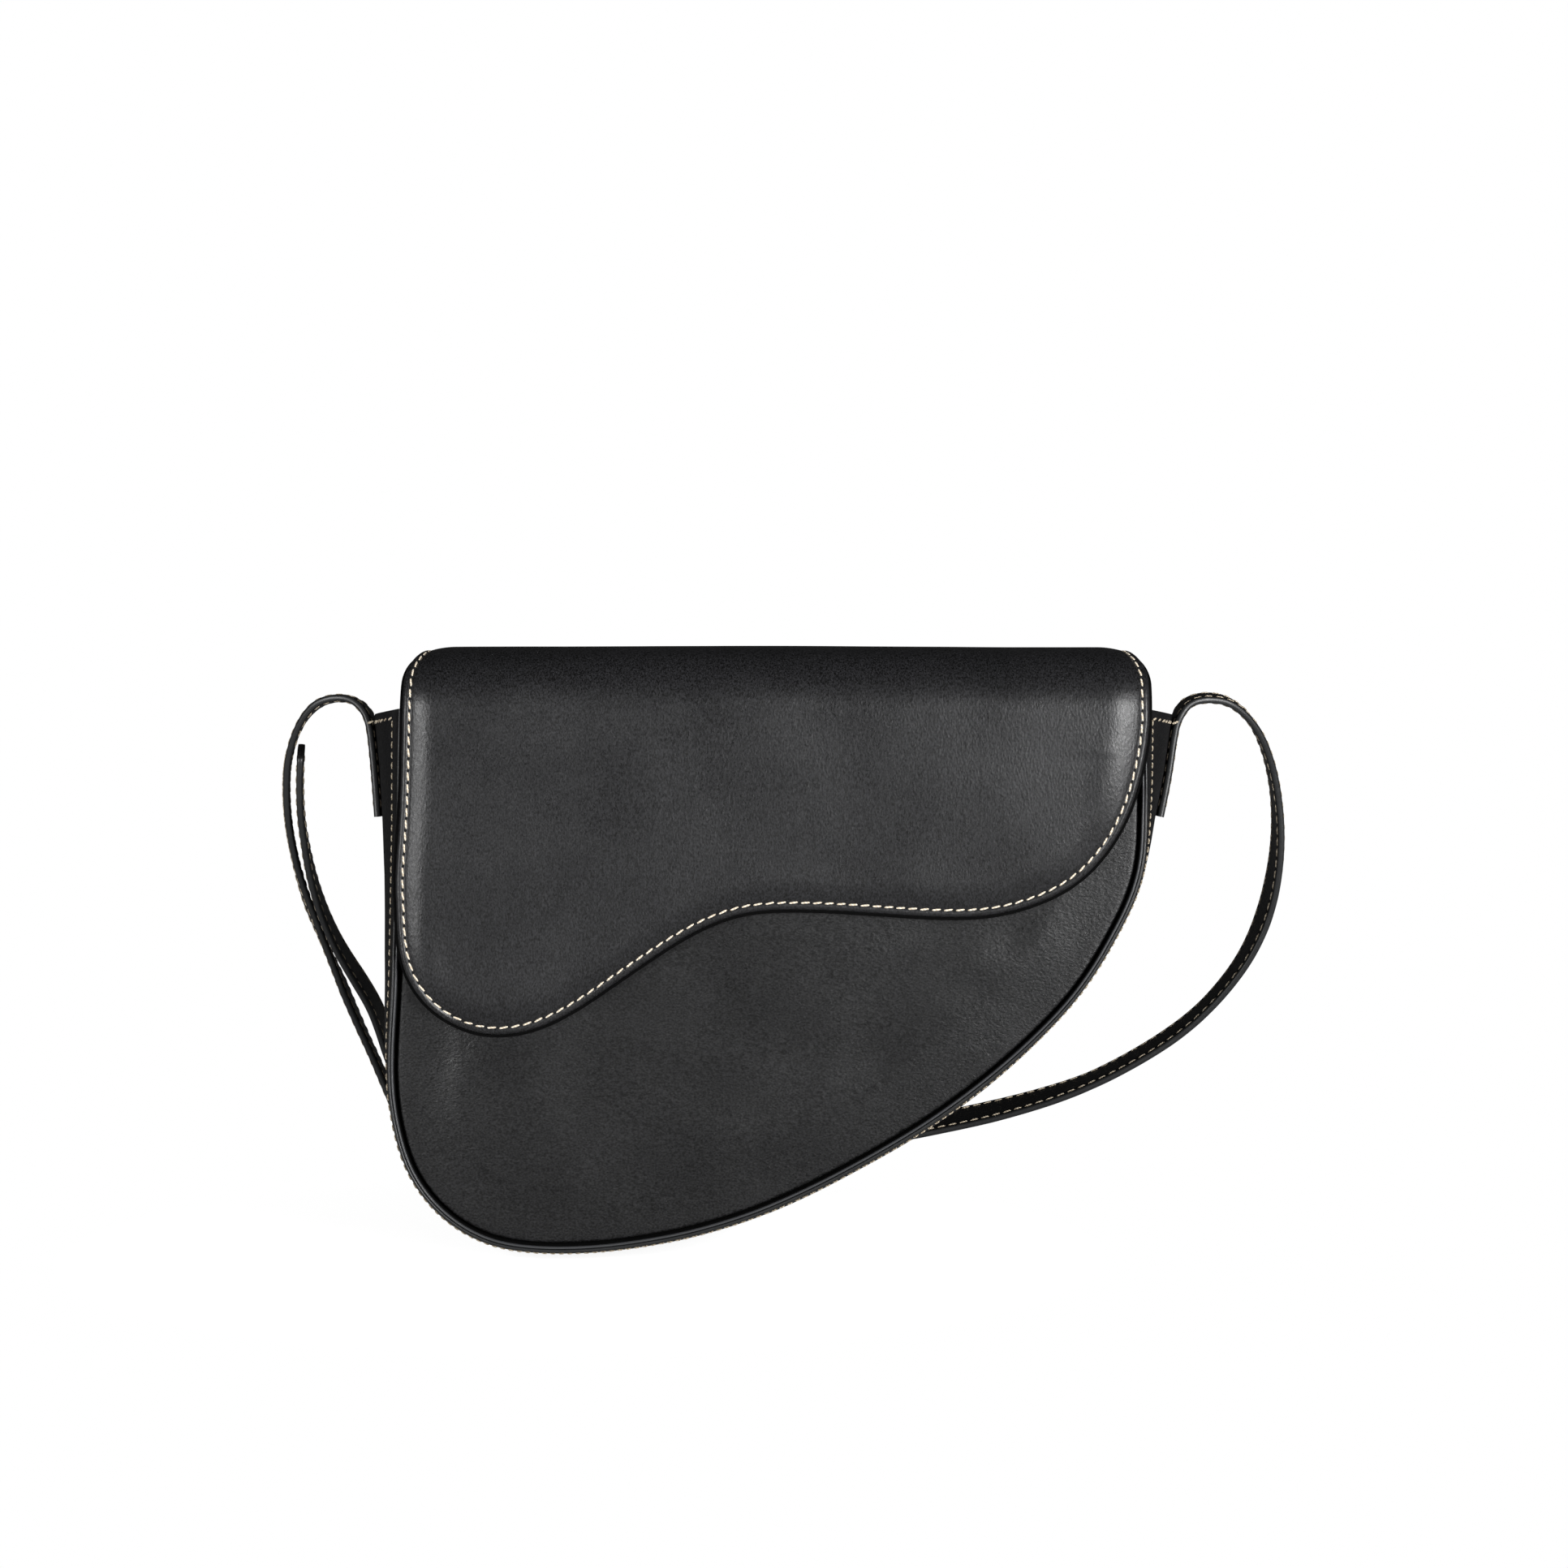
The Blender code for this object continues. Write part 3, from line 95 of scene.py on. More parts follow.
TAIL_ROUTE = (
    (-75.0, 24.0, -81.0), (-90.3, 24.0, -81.0), (-105.7, 24.0, -81.1), (-117.9, 24.0, -80.9),
    (-126.6, 24.0, -78.6), (-134.0, 24.0, -73.4), (-140.1, 24.2, -66.3), (-145.2, 23.9, -58.5),
    (-148.9, 22.6, -50.4), (-152.1, 19.0, -39.2), (-156.4, 13.5, -25.5), (-162.9, 8.4, -12.7),
    (-169.5, 3.2, 0.1), (-174.5, -2.4, 13.6), (-177.9, -7.9, 27.6), (-179.9, -13.1, 42.0),
    (-180.6, -18.1, 56.5), (-179.9, -22.2, 71.3), (-179.3, -23.8, 77.2),
)
# How far the strap turns about its own length: distance walked and degrees
LEFT_TURN = (
    (36, 0), (48, 2.5), (60, -0.5), (72, -7), (96, -9.5), (132, -10), (155, -13), (174, -8), (190, -3),
    (216, -4.5), (264, 0),
)
RIGHT_TURN = (
    (36, 0), (42, -2), (54, -5.5), (72, -6.8), (91, -4.6), (110, -2), (128, 1.8), (147, 6), (160, 7.2),
    (184, 4.8), (203, 4.5), (222, 6.8), (258, 7.7), (276, 11.5), (300, 15), (330, 16), (360, 10),
    (390, 3), (410, 0),
)
TAIL_TURN = ((60, 0), (90, 6), (99, 7), (129, 7), (159, 0), (177, -3.7), (195, -7.5), (225, -8))
BUCKLE = Vector((-66.0, 24.0, -86.5))
TOP = 92.5


# Shapes


def smooth_line(points, count):
    """Count evenly spaced points on a natural cubic curve through the points."""
    points = np.array([tuple(p) for p in points], float)
    spans = np.sqrt(np.linalg.norm(np.diff(points, axis=0), axis=1))
    size = len(points)
    bend = np.eye(size)
    pull = np.zeros_like(points)
    for i in range(1, size - 1):
        bend[i, i - 1 : i + 2] = spans[i - 1], 2 * (spans[i - 1] + spans[i]), spans[i]
        pull[i] = 6 * ((points[i + 1] - points[i]) / spans[i] - (points[i] - points[i - 1]) / spans[i - 1])
    second = np.linalg.solve(bend, pull)
    fine = []
    for i in range(size - 1):
        for t in np.linspace(0, 1, 12, endpoint=False):
            s = 1 - t
            sag = (s**3 - s) * second[i] + (t**3 - t) * second[i + 1]
            fine.append(s * points[i] + t * points[i + 1] + sag * spans[i] ** 2 / 6)
    fine = np.array(fine + [points[-1]])
    return even_line(fine, count)


def even_line(points, count):
    """Count evenly spaced points on the straight lines through the points."""
    points = np.array([tuple(p) for p in points], float)
    steps = np.linalg.norm(np.diff(points, axis=0), axis=1)
    along = np.concatenate(([0], np.cumsum(steps)))
    even = np.linspace(0, along[-1], count)
    return [Vector([np.interp(e, along, points[:, k]) for k in range(points.shape[1])]) for e in even]


def length_of(points):
    return sum((b - a).length for a, b in zip(points, points[1:]))


def distances(points):
    """How far along a path each of its points lies."""
    steps = [(b - a).length for a, b in zip(points, points[1:])]
    return np.concatenate(([0.0], np.cumsum(steps)))


def smooth_step(a, b, v):
    """A soft step from 0 at a to 1 at b."""
    t = min(1, max(0, (v - a) / (b - a)))
    return t * t * (3 - 2 * t)


def soft_noise(p, size, seed):
    """Smooth noise from -1 to 1 with lumps of the size given, in millimetres."""
    return noise.noise(Vector(p) / size + Vector((seed, 2 * seed, 0.5)))


def quilt(columns):
    """A sheet of quads through columns of points, all with the same count."""
    wide, high = len(columns) - 1, len(columns[0]) - 1
    bm = bmesh.new()
    bmesh.ops.create_grid(bm, x_segments=wide, y_segments=high, size=1)
    for v in bm.verts:
        v.co = columns[round((v.co.x + 1) / 2 * wide)][round((v.co.y + 1) / 2 * high)]
    return bm


def join(parts):
    """One bmesh from several, which are used up."""
    whole = bmesh.new()
    for part in parts:
        mesh = bpy.data.meshes.new("part")
        part.to_mesh(mesh)
        part.free()
        whole.from_mesh(mesh)
        bpy.data.meshes.remove(mesh)
    return whole


def open_edges(bm):
    return [e for e in bm.edges if e.is_boundary]


def piece(bm, name, finishes, close=True, sharp=38, pick=None):
    """A finished piece: millimetres become metres, doubles merge, faces point outwards."""
    bmesh.ops.remove_doubles(bm, verts=bm.verts, dist=0.004)
    if close:
        gaps = open_edges(bm)
        if gaps:
            bmesh.ops.holes_fill(bm, edges=gaps, sides=0)
    bmesh.ops.recalc_face_normals(bm, faces=bm.faces)
    if pick:
        for face in bm.faces:
            face.material_index = pick(face)
    bmesh.ops.scale(bm, vec=(MM, MM, MM), verts=bm.verts)
    mesh = bpy.data.meshes.new(name)
    bm.to_mesh(mesh)
    bm.free()
    for finish in finishes:
        mesh.materials.append(finish)
    mesh.shade_smooth()
    mesh.set_sharp_from_angle(angle=radians(sharp))
    made = bpy.data.objects.new(name, mesh)
    bpy.context.collection.objects.link(made)
    return made


def rounded(made, width, segments):
    """Rounds the hard edges of a rigid piece."""
    step = made.modifiers.new("Rounded edges", "BEVEL")
    step.width = width * MM
    step.segments = segments
    step.limit_method = "ANGLE"
    step.angle_limit = radians(35)


# Finishes


def linear(code):
    """An sRGB hex colour as linear values."""
    values = [int(code[i : i + 2], 16) / 255 for i in (1, 3, 5)]
    return tuple(v / 12.92 if v <= 0.04045 else ((v + 0.055) / 1.055) ** 2.4 for v in values) + (1,)


def add(tree, kind, inputs=(), **settings):
    """Adds a node. An input's value is a number, a colour, or another node's output."""
    made = tree.nodes.new(kind)
    for name, value in settings.items():
        setattr(made, name, value)
    for key, value in dict(inputs).items():
        if isinstance(value, bpy.types.NodeSocket):
            tree.links.new(value, made.inputs[key])
        else:
            made.inputs[key].default_value = value
    return made


def finish(name, colour, roughness, metallic=0.0, **more):
    """A new material with its surface shader, and the place where its patterns start."""
    made = bpy.data.materials.new(name)
    made.use_nodes = True
    tree = made.node_tree
    shader = tree.nodes["Principled BSDF"]
    shader.inputs["Base Color"].default_value = linear(colour)
    shader.inputs["Roughness"].default_value = roughness
    shader.inputs["Metallic"].default_value = metallic
    for key, value in more.items():
        shader.inputs[key.replace("_", " ")].default_value = value
    place = add(tree, "ShaderNodeTexCoord").outputs["Object"]
    return made, tree, shader, place


def ramp(tree, value, low, high, to_low=0.0, to_high=1.0):
    """A value, held between low and high, laid on another range."""
    ends = {"From Min": low, "From Max": high, "To Min": to_low, "To Max": to_high}
    return add(tree, "ShaderNodeMapRange", {"Value": value, **ends}).outputs["Result"]


def math(tree, operation, a, b):
    return add(tree, "ShaderNodeMath", {0: a, 1: b}, operation=operation).outputs[0]


def lumps_of(tree, place, scale, **more):
    """Noise, whose lumps lie about a metre over the scale apart."""
    return add(tree, "ShaderNodeTexNoise", {"Vector": place, "Scale": scale, **more}).outputs[0]


def bands_of(tree, place, scale, direction, **more):
    """Waves that run in one direction."""
    inputs = {"Vector": place, "Scale": scale, **more}
    return add(tree, "ShaderNodeTexWave", inputs, bands_direction=direction).outputs[1]


def dye(tree, shader, share, dark, light):
    """Colours the surface from dark to light, two sRGB codes, by a share from 0 to 1."""
    inputs = {"Factor": share, 6: linear(dark), 7: linear(light)}
    tone = add(tree, "ShaderNodeMix", inputs, data_type="RGBA").outputs[2]
    tree.links.new(tone, shader.inputs["Base Color"])


def emboss(tree, shader, height, strength, distance, **under):
    """Gives the surface a pattern's relief, as deep as the distance in metres."""
    inputs = {"Height": height, "Strength": strength, "Distance": distance, **under}
    relief = add(tree, "ShaderNodeBump", inputs).outputs[0]
    tree.links.new(relief, shader.inputs["Normal"])
    return relief


def leather(name, dark, light, roughness, grain=1.0, wrinkle=1.0, stretch=(1, 1, 1), gloss=0.5):
    """Smooth corrected cowhide: a fine crinkled grain, short wrinkles, a few soft creases, and a
    semi-gloss topcoat that lies unevenly, so that the sheen is mottled over a few centimetres."""
    made, tree, shader, place = finish(name, dark, roughness, Specular_IOR_Level=gloss)
    laid = add(tree, "ShaderNodeMapping", {"Vector": place, "Scale": stretch}).outputs[0]
    # Grain: pebbles 0.7 to 1 mm across with finer pits between them
    inputs = {"Vector": laid, "Scale": 950.0, "Smoothness": 0.5}
    pebble = add(tree, "ShaderNodeTexVoronoi", inputs, feature="SMOOTH_F1").outputs["Distance"]
    fine = lumps_of(tree, laid, 900.0, Detail=4.0, Roughness=0.7)
    # Wrinkles: short ripples 2 to 4 mm apart, bent by noise
    ripple = lumps_of(tree, laid, 190.0, Detail=3.0, Distortion=1.2)
    # Creases: thin bent lines along the zero of a broad noise, let through in patches
    broad = lumps_of(tree, laid, 55.0, Detail=4.0, Distortion=0.8)
    line = math(tree, "ABSOLUTE", math(tree, "SUBTRACT", broad, 0.5), 0.0)
    patch = lumps_of(tree, place, 24.0, Detail=2.0)
    crease = math(tree, "MULTIPLY", ramp(tree, line, 0.0, 0.012, -1.0, 0.0), ramp(tree, patch, 0.52, 0.66))
    # Mottling over 20 to 40 mm
    cloud = lumps_of(tree, place, 34.0, Detail=3.0, Roughness=0.55)
    # Pores under a millimetre apart show the dye dark, and the lighter colour of the hide between them is
    # painted sheen, scaled by the mottling
    pores = lumps_of(tree, laid, 1500.0, Detail=2.0, Roughness=0.6)
    grain_tone_and_sheen = math(tree, "MULTIPLY", ramp(tree, pores, 0.36, 0.64), ramp(tree, cloud, 0.25, 0.75, 0.75, 1.0))
    dye(tree, shader, grain_tone_and_sheen, dark, light)
    sheen = math(tree, "ADD", ramp(tree, cloud, 0.3, 0.7, -0.05, 0.05), roughness)
    sheen = math(tree, "ADD", sheen, ramp(tree, fine, 0.35, 0.65, 0.07, -0.07))
    tree.links.new(sheen, shader.inputs["Roughness"])
    folds = math(tree, "ADD", math(tree, "MULTIPLY", ripple, 1.1), math(tree, "MULTIPLY", crease, 0.35))
    low = emboss(tree, shader, folds, 0.24 * wrinkle, 0.0006)
    height = math(tree, "ADD", math(tree, "MULTIPLY", pebble, 0.5), fine)
    emboss(tree, shader, height, 0.6 * grain, 0.00045, Normal=low)
    return made


def edge_paint(name, colour, roughness):
    """Edge paint over cut leather: a thick, smooth, slightly grey and rubbery coat, a little wavy."""
    made, tree, shader, place = finish(name, colour, roughness)
    lumps = lumps_of(tree, place, 380.0, Detail=2.0)
    sheen = ramp(tree, lumps, 0.3, 0.7, roughness - 0.05, roughness + 0.07)
    tree.links.new(sheen, shader.inputs["Roughness"])
    emboss(tree, shader, lumps, 0.12, 0.0004)
    return made


def shaded_raw_edge():
    """The dyed, unpolished side of the hide, down in the groove and under the flap's hem: fibrous, quite
    matte, and near black as painted shade.
    """
    made, tree, shader, place = finish("raw_leather_painted_shade", "#060606", 0.95, Specular_IOR_Level=0.08)
    emboss(tree, shader, lumps_of(tree, place, 900.0, Detail=3.0), 0.4, 0.0002)
    return made


def thread(name, colour, shade):
    """Bonded polyester thread, three plies twisted: slanting lines 0.35 mm apart, soft sheen."""
    made, tree, shader, place = finish(name, colour, 0.55, Sheen_Weight=0.25)
    twist = bands_of(tree, place, 420.0, "DIAGONAL", Distortion=1.5, Detail=1.0)
    fuzz = lumps_of(tree, place, 900.0)
    dye(tree, shader, ramp(tree, math(tree, "MULTIPLY", twist, fuzz), 0.0, 0.5), shade, colour)
    emboss(tree, shader, twist, 0.5, 0.0001)
    return made


def twill(name, colour, light, spacing):
    """Woven polyester: yarns at the spacing given, in millimetres, crossing at a slant."""
    made, tree, shader, place = finish(name, colour, 0.82, Sheen_Weight=0.2)
    pitch = 2 * pi / (spacing * MM) / 20
    across = bands_of(tree, place, pitch, "DIAGONAL", Distortion=0.4, Detail=1.0)
    down = bands_of(tree, place, pitch * 1.6, "Z", Distortion=0.3)
    woven = math(tree, "ADD", math(tree, "MULTIPLY", across, 0.7), math(tree, "MULTIPLY", down, 0.3))
    dye(tree, shader, woven, colour, light)
    emboss(tree, shader, woven, 0.4, 0.00015)
    return made


def metal(name, colour, roughness):
    """Plated zinc alloy, polished and then darkened: faint scuffs 0.5 mm apart."""
    made, tree, shader, place = finish(name, colour, roughness, 1.0)
    scuff = lumps_of(tree, place, 700.0, Detail=4.0, Roughness=0.7)
    sheen = ramp(tree, scuff, 0.3, 0.7, roughness - 0.07, roughness + 0.08)
    tree.links.new(sheen, shader.inputs["Roughness"])
    emboss(tree, shader, scuff, 0.05, 0.0001)
    return made


def board(name, colour, light):
    """Bonded board or foam: pale crumbs about 0.8 mm across, quite matte."""
    made, tree, shader, place = finish(name, colour, 0.92)
    crumbs = add(tree, "ShaderNodeTexVoronoi", {"Vector": place, "Scale": 1200.0}).outputs["Distance"]
    dye(tree, shader, crumbs, colour, light)
    emboss(tree, shader, crumbs, 0.3, 0.0002)
    return made


PANEL_HIDE = leather("smooth_cowhide_panel", "#070707", "#262627", 0.35, 0.5, 0.8, (0.8, 1, 1.15), 0.3)
FLAP_HIDE = leather("smooth_cowhide_flap", "#080808", "#2a2a2c", 0.34, 0.4, 0.4, (1.25, 1, 0.7), 0.4)
SIDE_HIDE = leather("smooth_cowhide_side", "#0e0e0f", "#171718", 0.5, 0.6, 0.4, gloss=0.22)
STRAP_HIDE = leather("smooth_cowhide_strap", "#0b0b0c", "#131313", 0.42, 0.6, 0.2, gloss=0.3)
# Near-black matte raw hide: painted shade in the panels' grooves and under the flap's hem
RAW_EDGE_SHADE = shaded_raw_edge()
EDGE = edge_paint("painted_strap_edge", "#1d1e1f", 0.36)
# Edge paint on the panels' flanges, its grey lightened as a painted highlight along the rim
RIM_PAINT_AND_HIGHLIGHT = edge_paint("rim_edge_paint_and_highlight", "#3a3b3d", 0.34)
FLAP_THREAD = thread("bonded_thread_cream", "#efe4d2", "#c4b49a")
SEAM_THREAD = thread("bonded_thread_sand", "#cfc2ab", "#8f8069")
# Near-black matte for the needle holes: painted shade
HOLE_SHADE = finish("punched_hole_shade", "#020202", 0.95)[0]
LINING = twill("twill_lining_black", "#121214", "#242427", 0.9)
SUEDE = twill("microfibre_flap_lining", "#161618", "#1f1f21", 0.6)
ZIP_CLOTH = twill("zip_tape_herringbone", "#0f0f11", "#232326", 1.1)
NICKEL = metal("dark_nickel_plate", "#6b6865", 0.24)
BOARD = board("leatherboard_grey", "#4a4642", "#77716a")


# Outlines of the panels and the flap, in (x, z) or in (x, w), where w runs up over the flap


def normals_of(line):
    """Outward normals of a line that runs down the left, along the base and up the right."""
    last = len(line) - 1
    out = []
    for i in range(len(line)):
        run = line[min(i + 1, last)] - line[max(i - 1, 0)]
        out.append(Vector((run[1], -run[0])).normalized())
    return out


def border(line, corner_a, corner_b, side, base):
    """Stations of a border: side steps to corner_a, base steps to corner_b, side steps up.
    The corners are lengths from the line's start and from its end."""
    total = length_of(line)
    fine = even_line(line, 4000)
    stops = np.concatenate(
        (
            np.linspace(0, corner_a, side + 1),
            np.linspace(corner_a, total - corner_b, base + 1)[1:],
            np.linspace(total - corner_b, total, side + 1)[1:],
        )
    )
    # The stops are eased so that the spacing changes gradually
    for _ in range(60):
        stops[1:-1] = (stops[:-2] + 2 * stops[1:-1] + stops[2:]) / 4
    index = stops / total * (len(fine) - 1)
    return [fine[int(round(i))] for i in index]


class Shield:
    """A shield-shaped piece of sheet: its border, and the patch that fills it."""

    def __init__(self, line, corner_a, corner_b, side, base, place):
        self.edge = border(line, corner_a, corner_b, side, base)
        self.out = normals_of(self.edge)
        self.out[0], self.out[-1] = Vector((-1, 0)), Vector((1, 0))
        self.side, self.base, self.place = side, base, place

    def inward(self, k, inset):
        """The border's station k, moved in by the inset."""
        return self.edge[k] - self.out[k] * inset

    def ring(self, inset):
        return [self.inward(k, inset) for k in range(len(self.edge))]

    def strip(self, profile):
        """The band along the border, through (inset, depth) pairs."""
        columns = []
        for k in range(len(self.edge)):
            columns.append([self.place(self.inward(k, inset), depth, inset) for inset, depth in profile])
        return quilt(columns)

    def shell(self, profile):
        """A closed sheet: the band along the border, with a patch at both ends of its profile."""
        return join([self.patch(*profile[0]), self.strip(profile), self.patch(*profile[-1])])

    def patch(self, inset, depth):
        """The middle, inside the ring at the inset."""
        ring = self.ring(inset)
        side, base = self.side, self.base
        left = ring[: side + 1]
        foot = ring[side : side + base + 1]
        right = ring[side + base :][::-1]
        columns = []
        for i in range(base + 1):
            s = i / base
            top = left[0].lerp(right[0], s)
            column = []
            for j in range(side + 1):
                t = j / side
                p = top * (1 - t) + foot[i] * t + left[j] * (1 - s) + right[j] * s
                p -= left[0] * ((1 - s) * (1 - t)) + right[0] * (s * (1 - t))
                p -= left[-1] * ((1 - s) * t) + right[-1] * (s * t)
                rim = j == side or i in (0, base)
                column.append(self.place(p, depth, inset if rim else inset + 1))
            columns.append(column)
        return quilt(columns)


OUTLINE_LINE = smooth_line(OUTLINE, 600)
OUTLINE_POINTS = np.array([tuple(p) for p in OUTLINE_LINE])
# Where the outline's lower corners lie, measured along it from either end
PANEL_CORNER = 196
FRONT_FACE = -70


def from_outline(x, z):
    """How far a place lies from the panels' outline."""
    gap = OUTLINE_POINTS - np.array((x, z))
    return sqrt(float(np.min(np.einsum("ij,ij->i", gap, gap))))


def behind_face(side, depth):
    """The Y value at a depth behind the front panel's face or the back panel's."""
    return FRONT_FACE + depth if side == "front" else -depth


# Panels

# Soft hollows and swells of the front panel's padding: x, z, reach across, reach up, and the depth,
# which is below zero for a swell
FRONT_DENTS = (
    (-124, -38, 10, 11, 1.3), (-104, -30, 16, 14, -0.6), (-92, -66, 24, 15, -0.7), (-124, -62, 9, 10, -0.3),
    (80, -2, 16, 8, -0.7), (64, 10, 18, 6, 0.6), (40, -38, 16, 8, 0.5), (-48, -18, 20, 9, 0.6),
    (-60, -84, 26, 9, 0.4), (104, 6, 10, 16, -0.5), (-15, -52, 18, 10, 0.5), (12, -18, 20, 9, -0.4),
    (-112, 4, 12, 8, -0.4), (24, -60, 14, 8, -0.35), (-100, -44, 26, 28, -2.1),
)


def panel_place(side):
    """Depth behind the rim becomes a place, with the padding's soft lumps in the middle."""

    def place(p, depth, inset):
        lumps = 0.0
        # At the left of the front the lumps rise more slowly from the rim
        full = 24 if side == "back" else 24 + 14 * (1 - smooth_step(-120, -60, p[0]))
        fade = smooth_step(6, full, inset)
        if fade and depth < 4.4:
            lumps = 0.42 * soft_noise((p[0], 0, p[1]), 42, 3 if side == "front" else 8)
            lumps += 0.2 * soft_noise((p[0], 0, p[1]), 17, 5)
            lumps -= 0.55 + 1.1 * smooth_step(16, 44, inset) * (1 - smooth_step(14, 40, p[1]))
            if side == "front":
                for x, z, wide, high, deep in FRONT_DENTS:
                    reach = ((p[0] - x) / wide) ** 2 + ((p[1] - z) / high) ** 2
                    if reach < 9:
                        lumps += deep * 2.718 ** (-reach)
            else:
                lumps = max(0.0, lumps + 0.6)
        return Vector((p[0], behind_face(side, depth + lumps * fade), p[1]))

    return place


def panel(side):
    """A padded panel: flange turned into the rim, groove, and the pillow with its filling."""
    sink = 2.5 if side == "front" else 0.0
    pillow = [
        (24, 0.0), (19, 0.01), (15, 0.03), (12, 0.06), (9.8, 0.09), (8, 0.12), (6.4, 0.16), (5.3, 0.21),
        (4.6, 0.27), (4.1, 0.34), (3.8, 0.42), (3.56, 0.55), (3.38, 0.76), (3.26, 1.1), (3.18, 1.65),
        (3.13, 2.4), (3.11, 3.4),
    ]
    pillow = [(inset, sink + drop) for inset, drop in pillow]
    groove = [(3.03, 6.05), (2.8, 6.2), (2.45, 6.05), (2.24, 5.4)]
    flange = [
        (2.2, 4.0), (2.2, 2.2), (2.18, 1.0), (2.1, 0.45), (1.95, 0.14), (1.75, 0.02), (1.5, 0.03),
        (1.32, 0.16), (1.22, 0.5), (1.18, 1.0), (1.18, 6.4), (6, 6.45), (24, 6.45),
    ]
    shield = Shield(OUTLINE_LINE, PANEL_CORNER, PANEL_CORNER, 84, 100, panel_place(side))
    bm = shield.shell(pillow + groove + flange)
    # How deep the rim's edge paint, lightened into a painted highlight, and the groove's painted shade go,
    # and how far in from the outline
    paint_and_highlight_depth, groove_depth = 1.3, 6.3
    paint_and_highlight_reach, groove_reach = 2.4, 3.22

    def painted(face):
        """The flange's edge takes edge paint, lightened as a painted highlight, and the groove's walls take
        the hide's raw side, near black as painted shade.
        """
        c = face.calc_center_median()
        depth = c.y - FRONT_FACE if side == "front" else -c.y
        if depth < paint_and_highlight_depth and from_outline(c.x, c.z) < paint_and_highlight_reach:
            return 1
        groove_shade = paint_and_highlight_depth < depth < groove_depth and from_outline(c.x, c.z) < groove_reach
        return 2 if groove_shade else 0

    finishes = [PANEL_HIDE, RIM_PAINT_AND_HIGHLIGHT, RAW_EDGE_SHADE]
    made = piece(bm, side + "_panel_leather", finishes, sharp=50, pick=painted)
    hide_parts(side + "_panel", side + "_foam")
    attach(made, "bag")


# Gusset

# Where the mouth's edge stands out by MOUTH_STAND, it dips by DIP
DIP, MOUTH_STAND = 2.2, 12.2
# How far the gusset stands out at its middle, from the base up to the mouth: height and distance
LEFT_STAND = (
    (-98, 4.0), (-80, 3.0), (-60, 2.8), (-45, 3.1), (-20, 5.2), (0, 6.2), (30, 7.3), (55, 9.1), (70, 10.2),
    (TOP, 12.9),
)
RIGHT_STAND = (
    (-49, 4.0), (-30, 3.2), (-10, 2.6), (15, 2.7), (35, 3.5), (52, 6.1), (60, 7.8), (70, 9.9), (80, 11.6),
    (TOP, 13.4),
)


def bulge(x, z, y):
    """How far the gusset stands out at a place, with the give of soft leather."""
    t = (y + 68.2) / 66.4
    if not 0 < t < 1:
        return 0.0
    stand = LEFT_STAND if x < 0 else RIGHT_STAND
    return sin(pi * t) ** 0.65 * float(np.interp(z, [a for a, _ in stand], [b for _, b in stand]))


GUSSET_LINE = border(OUTLINE_LINE, 120, 120, 84, 170)
GUSSET_OUT = normals_of(GUSSET_LINE)
GUSSET_OUT[0], GUSSET_OUT[-1] = Vector((-1, 0)), Vector((1, 0))


def gusset_point(i, offset, y):
    """A point over the outline's station i, the offset outwards, on the bulging sheet."""
    p, n = GUSSET_LINE[i], GUSSET_OUT[i]
    stand = bulge(p[0], p[1], y)
    give = 0.35 * soft_noise((p[0], y, p[1]), 33, 11) * min(1, stand / 3)
    q = p + n * (offset + stand + give)
    near_top = smooth_step(TOP - 26, TOP, p[1])
    return Vector((q[0], y, q[1] - DIP * stand / MOUTH_STAND * near_top))


def gusset_sections(outer, inner, front, back, steps, round_edges):
    """Closed sections of the gusset or its lining, one for each station."""
    ys = [front + (back - front) * (0.5 - 0.5 * cos(pi * k / steps)) for k in range(steps + 1)]
    middle, half = (outer + inner) / 2, (outer - inner) / 2
    rounding = []
    if round_edges:
        for a in (30, 60, 90, 120, 150):
            rounding.append((middle + half * cos(radians(a)), half * sin(radians(a))))
    columns = []
    for i in range(len(GUSSET_LINE)):
        column = [gusset_point(i, outer, y) for y in ys]
        column += [gusset_point(i, offset, back + proud) for offset, proud in rounding]
        column += [gusset_point(i, inner, y) for y in ys[::-1]]
        column += [gusset_point(i, offset, front - proud) for offset, proud in rounding[::-1]]
        column.append(column[0].copy())
        columns.append(column)
    return columns


def gusset_pieces():
    """The soft sides and base in one strip of leather, hemmed at both ends, and its lining."""
    columns = gusset_sections(0, -1.1, -69.45, -0.55, 26, True)
    # The hem: the leather is folded in at both ends, so the last 8 mm are a little thicker
    for column in (columns[0], columns[-1]):
        middle = sum(column[:-1], Vector()) / (len(column) - 1)
        crown = [p.copy() for p in column]
        for p in crown:
            p.z += 0.55
            p.x += (middle.x - p.x) * 0.02
        columns = [crown] + columns if column is columns[0] else columns + [crown]
    bm = quilt(columns)

    def painted(face):
        c = face.calc_center_median()
        return 1 if c.y < -69.5 or c.y > -0.5 else 0

    made = piece(bm, "gusset_leather", [SIDE_HIDE, EDGE], sharp=60, pick=painted)
    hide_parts("gusset")
    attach(made, "bag")
    columns = gusset_sections(-1.9, -2.7, -60.6, -12.2, 18, False)
    cloth = piece(quilt(columns), "gusset_twill", [LINING])
    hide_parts("gusset_lining")
    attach(cloth, "bag")


# Stitches


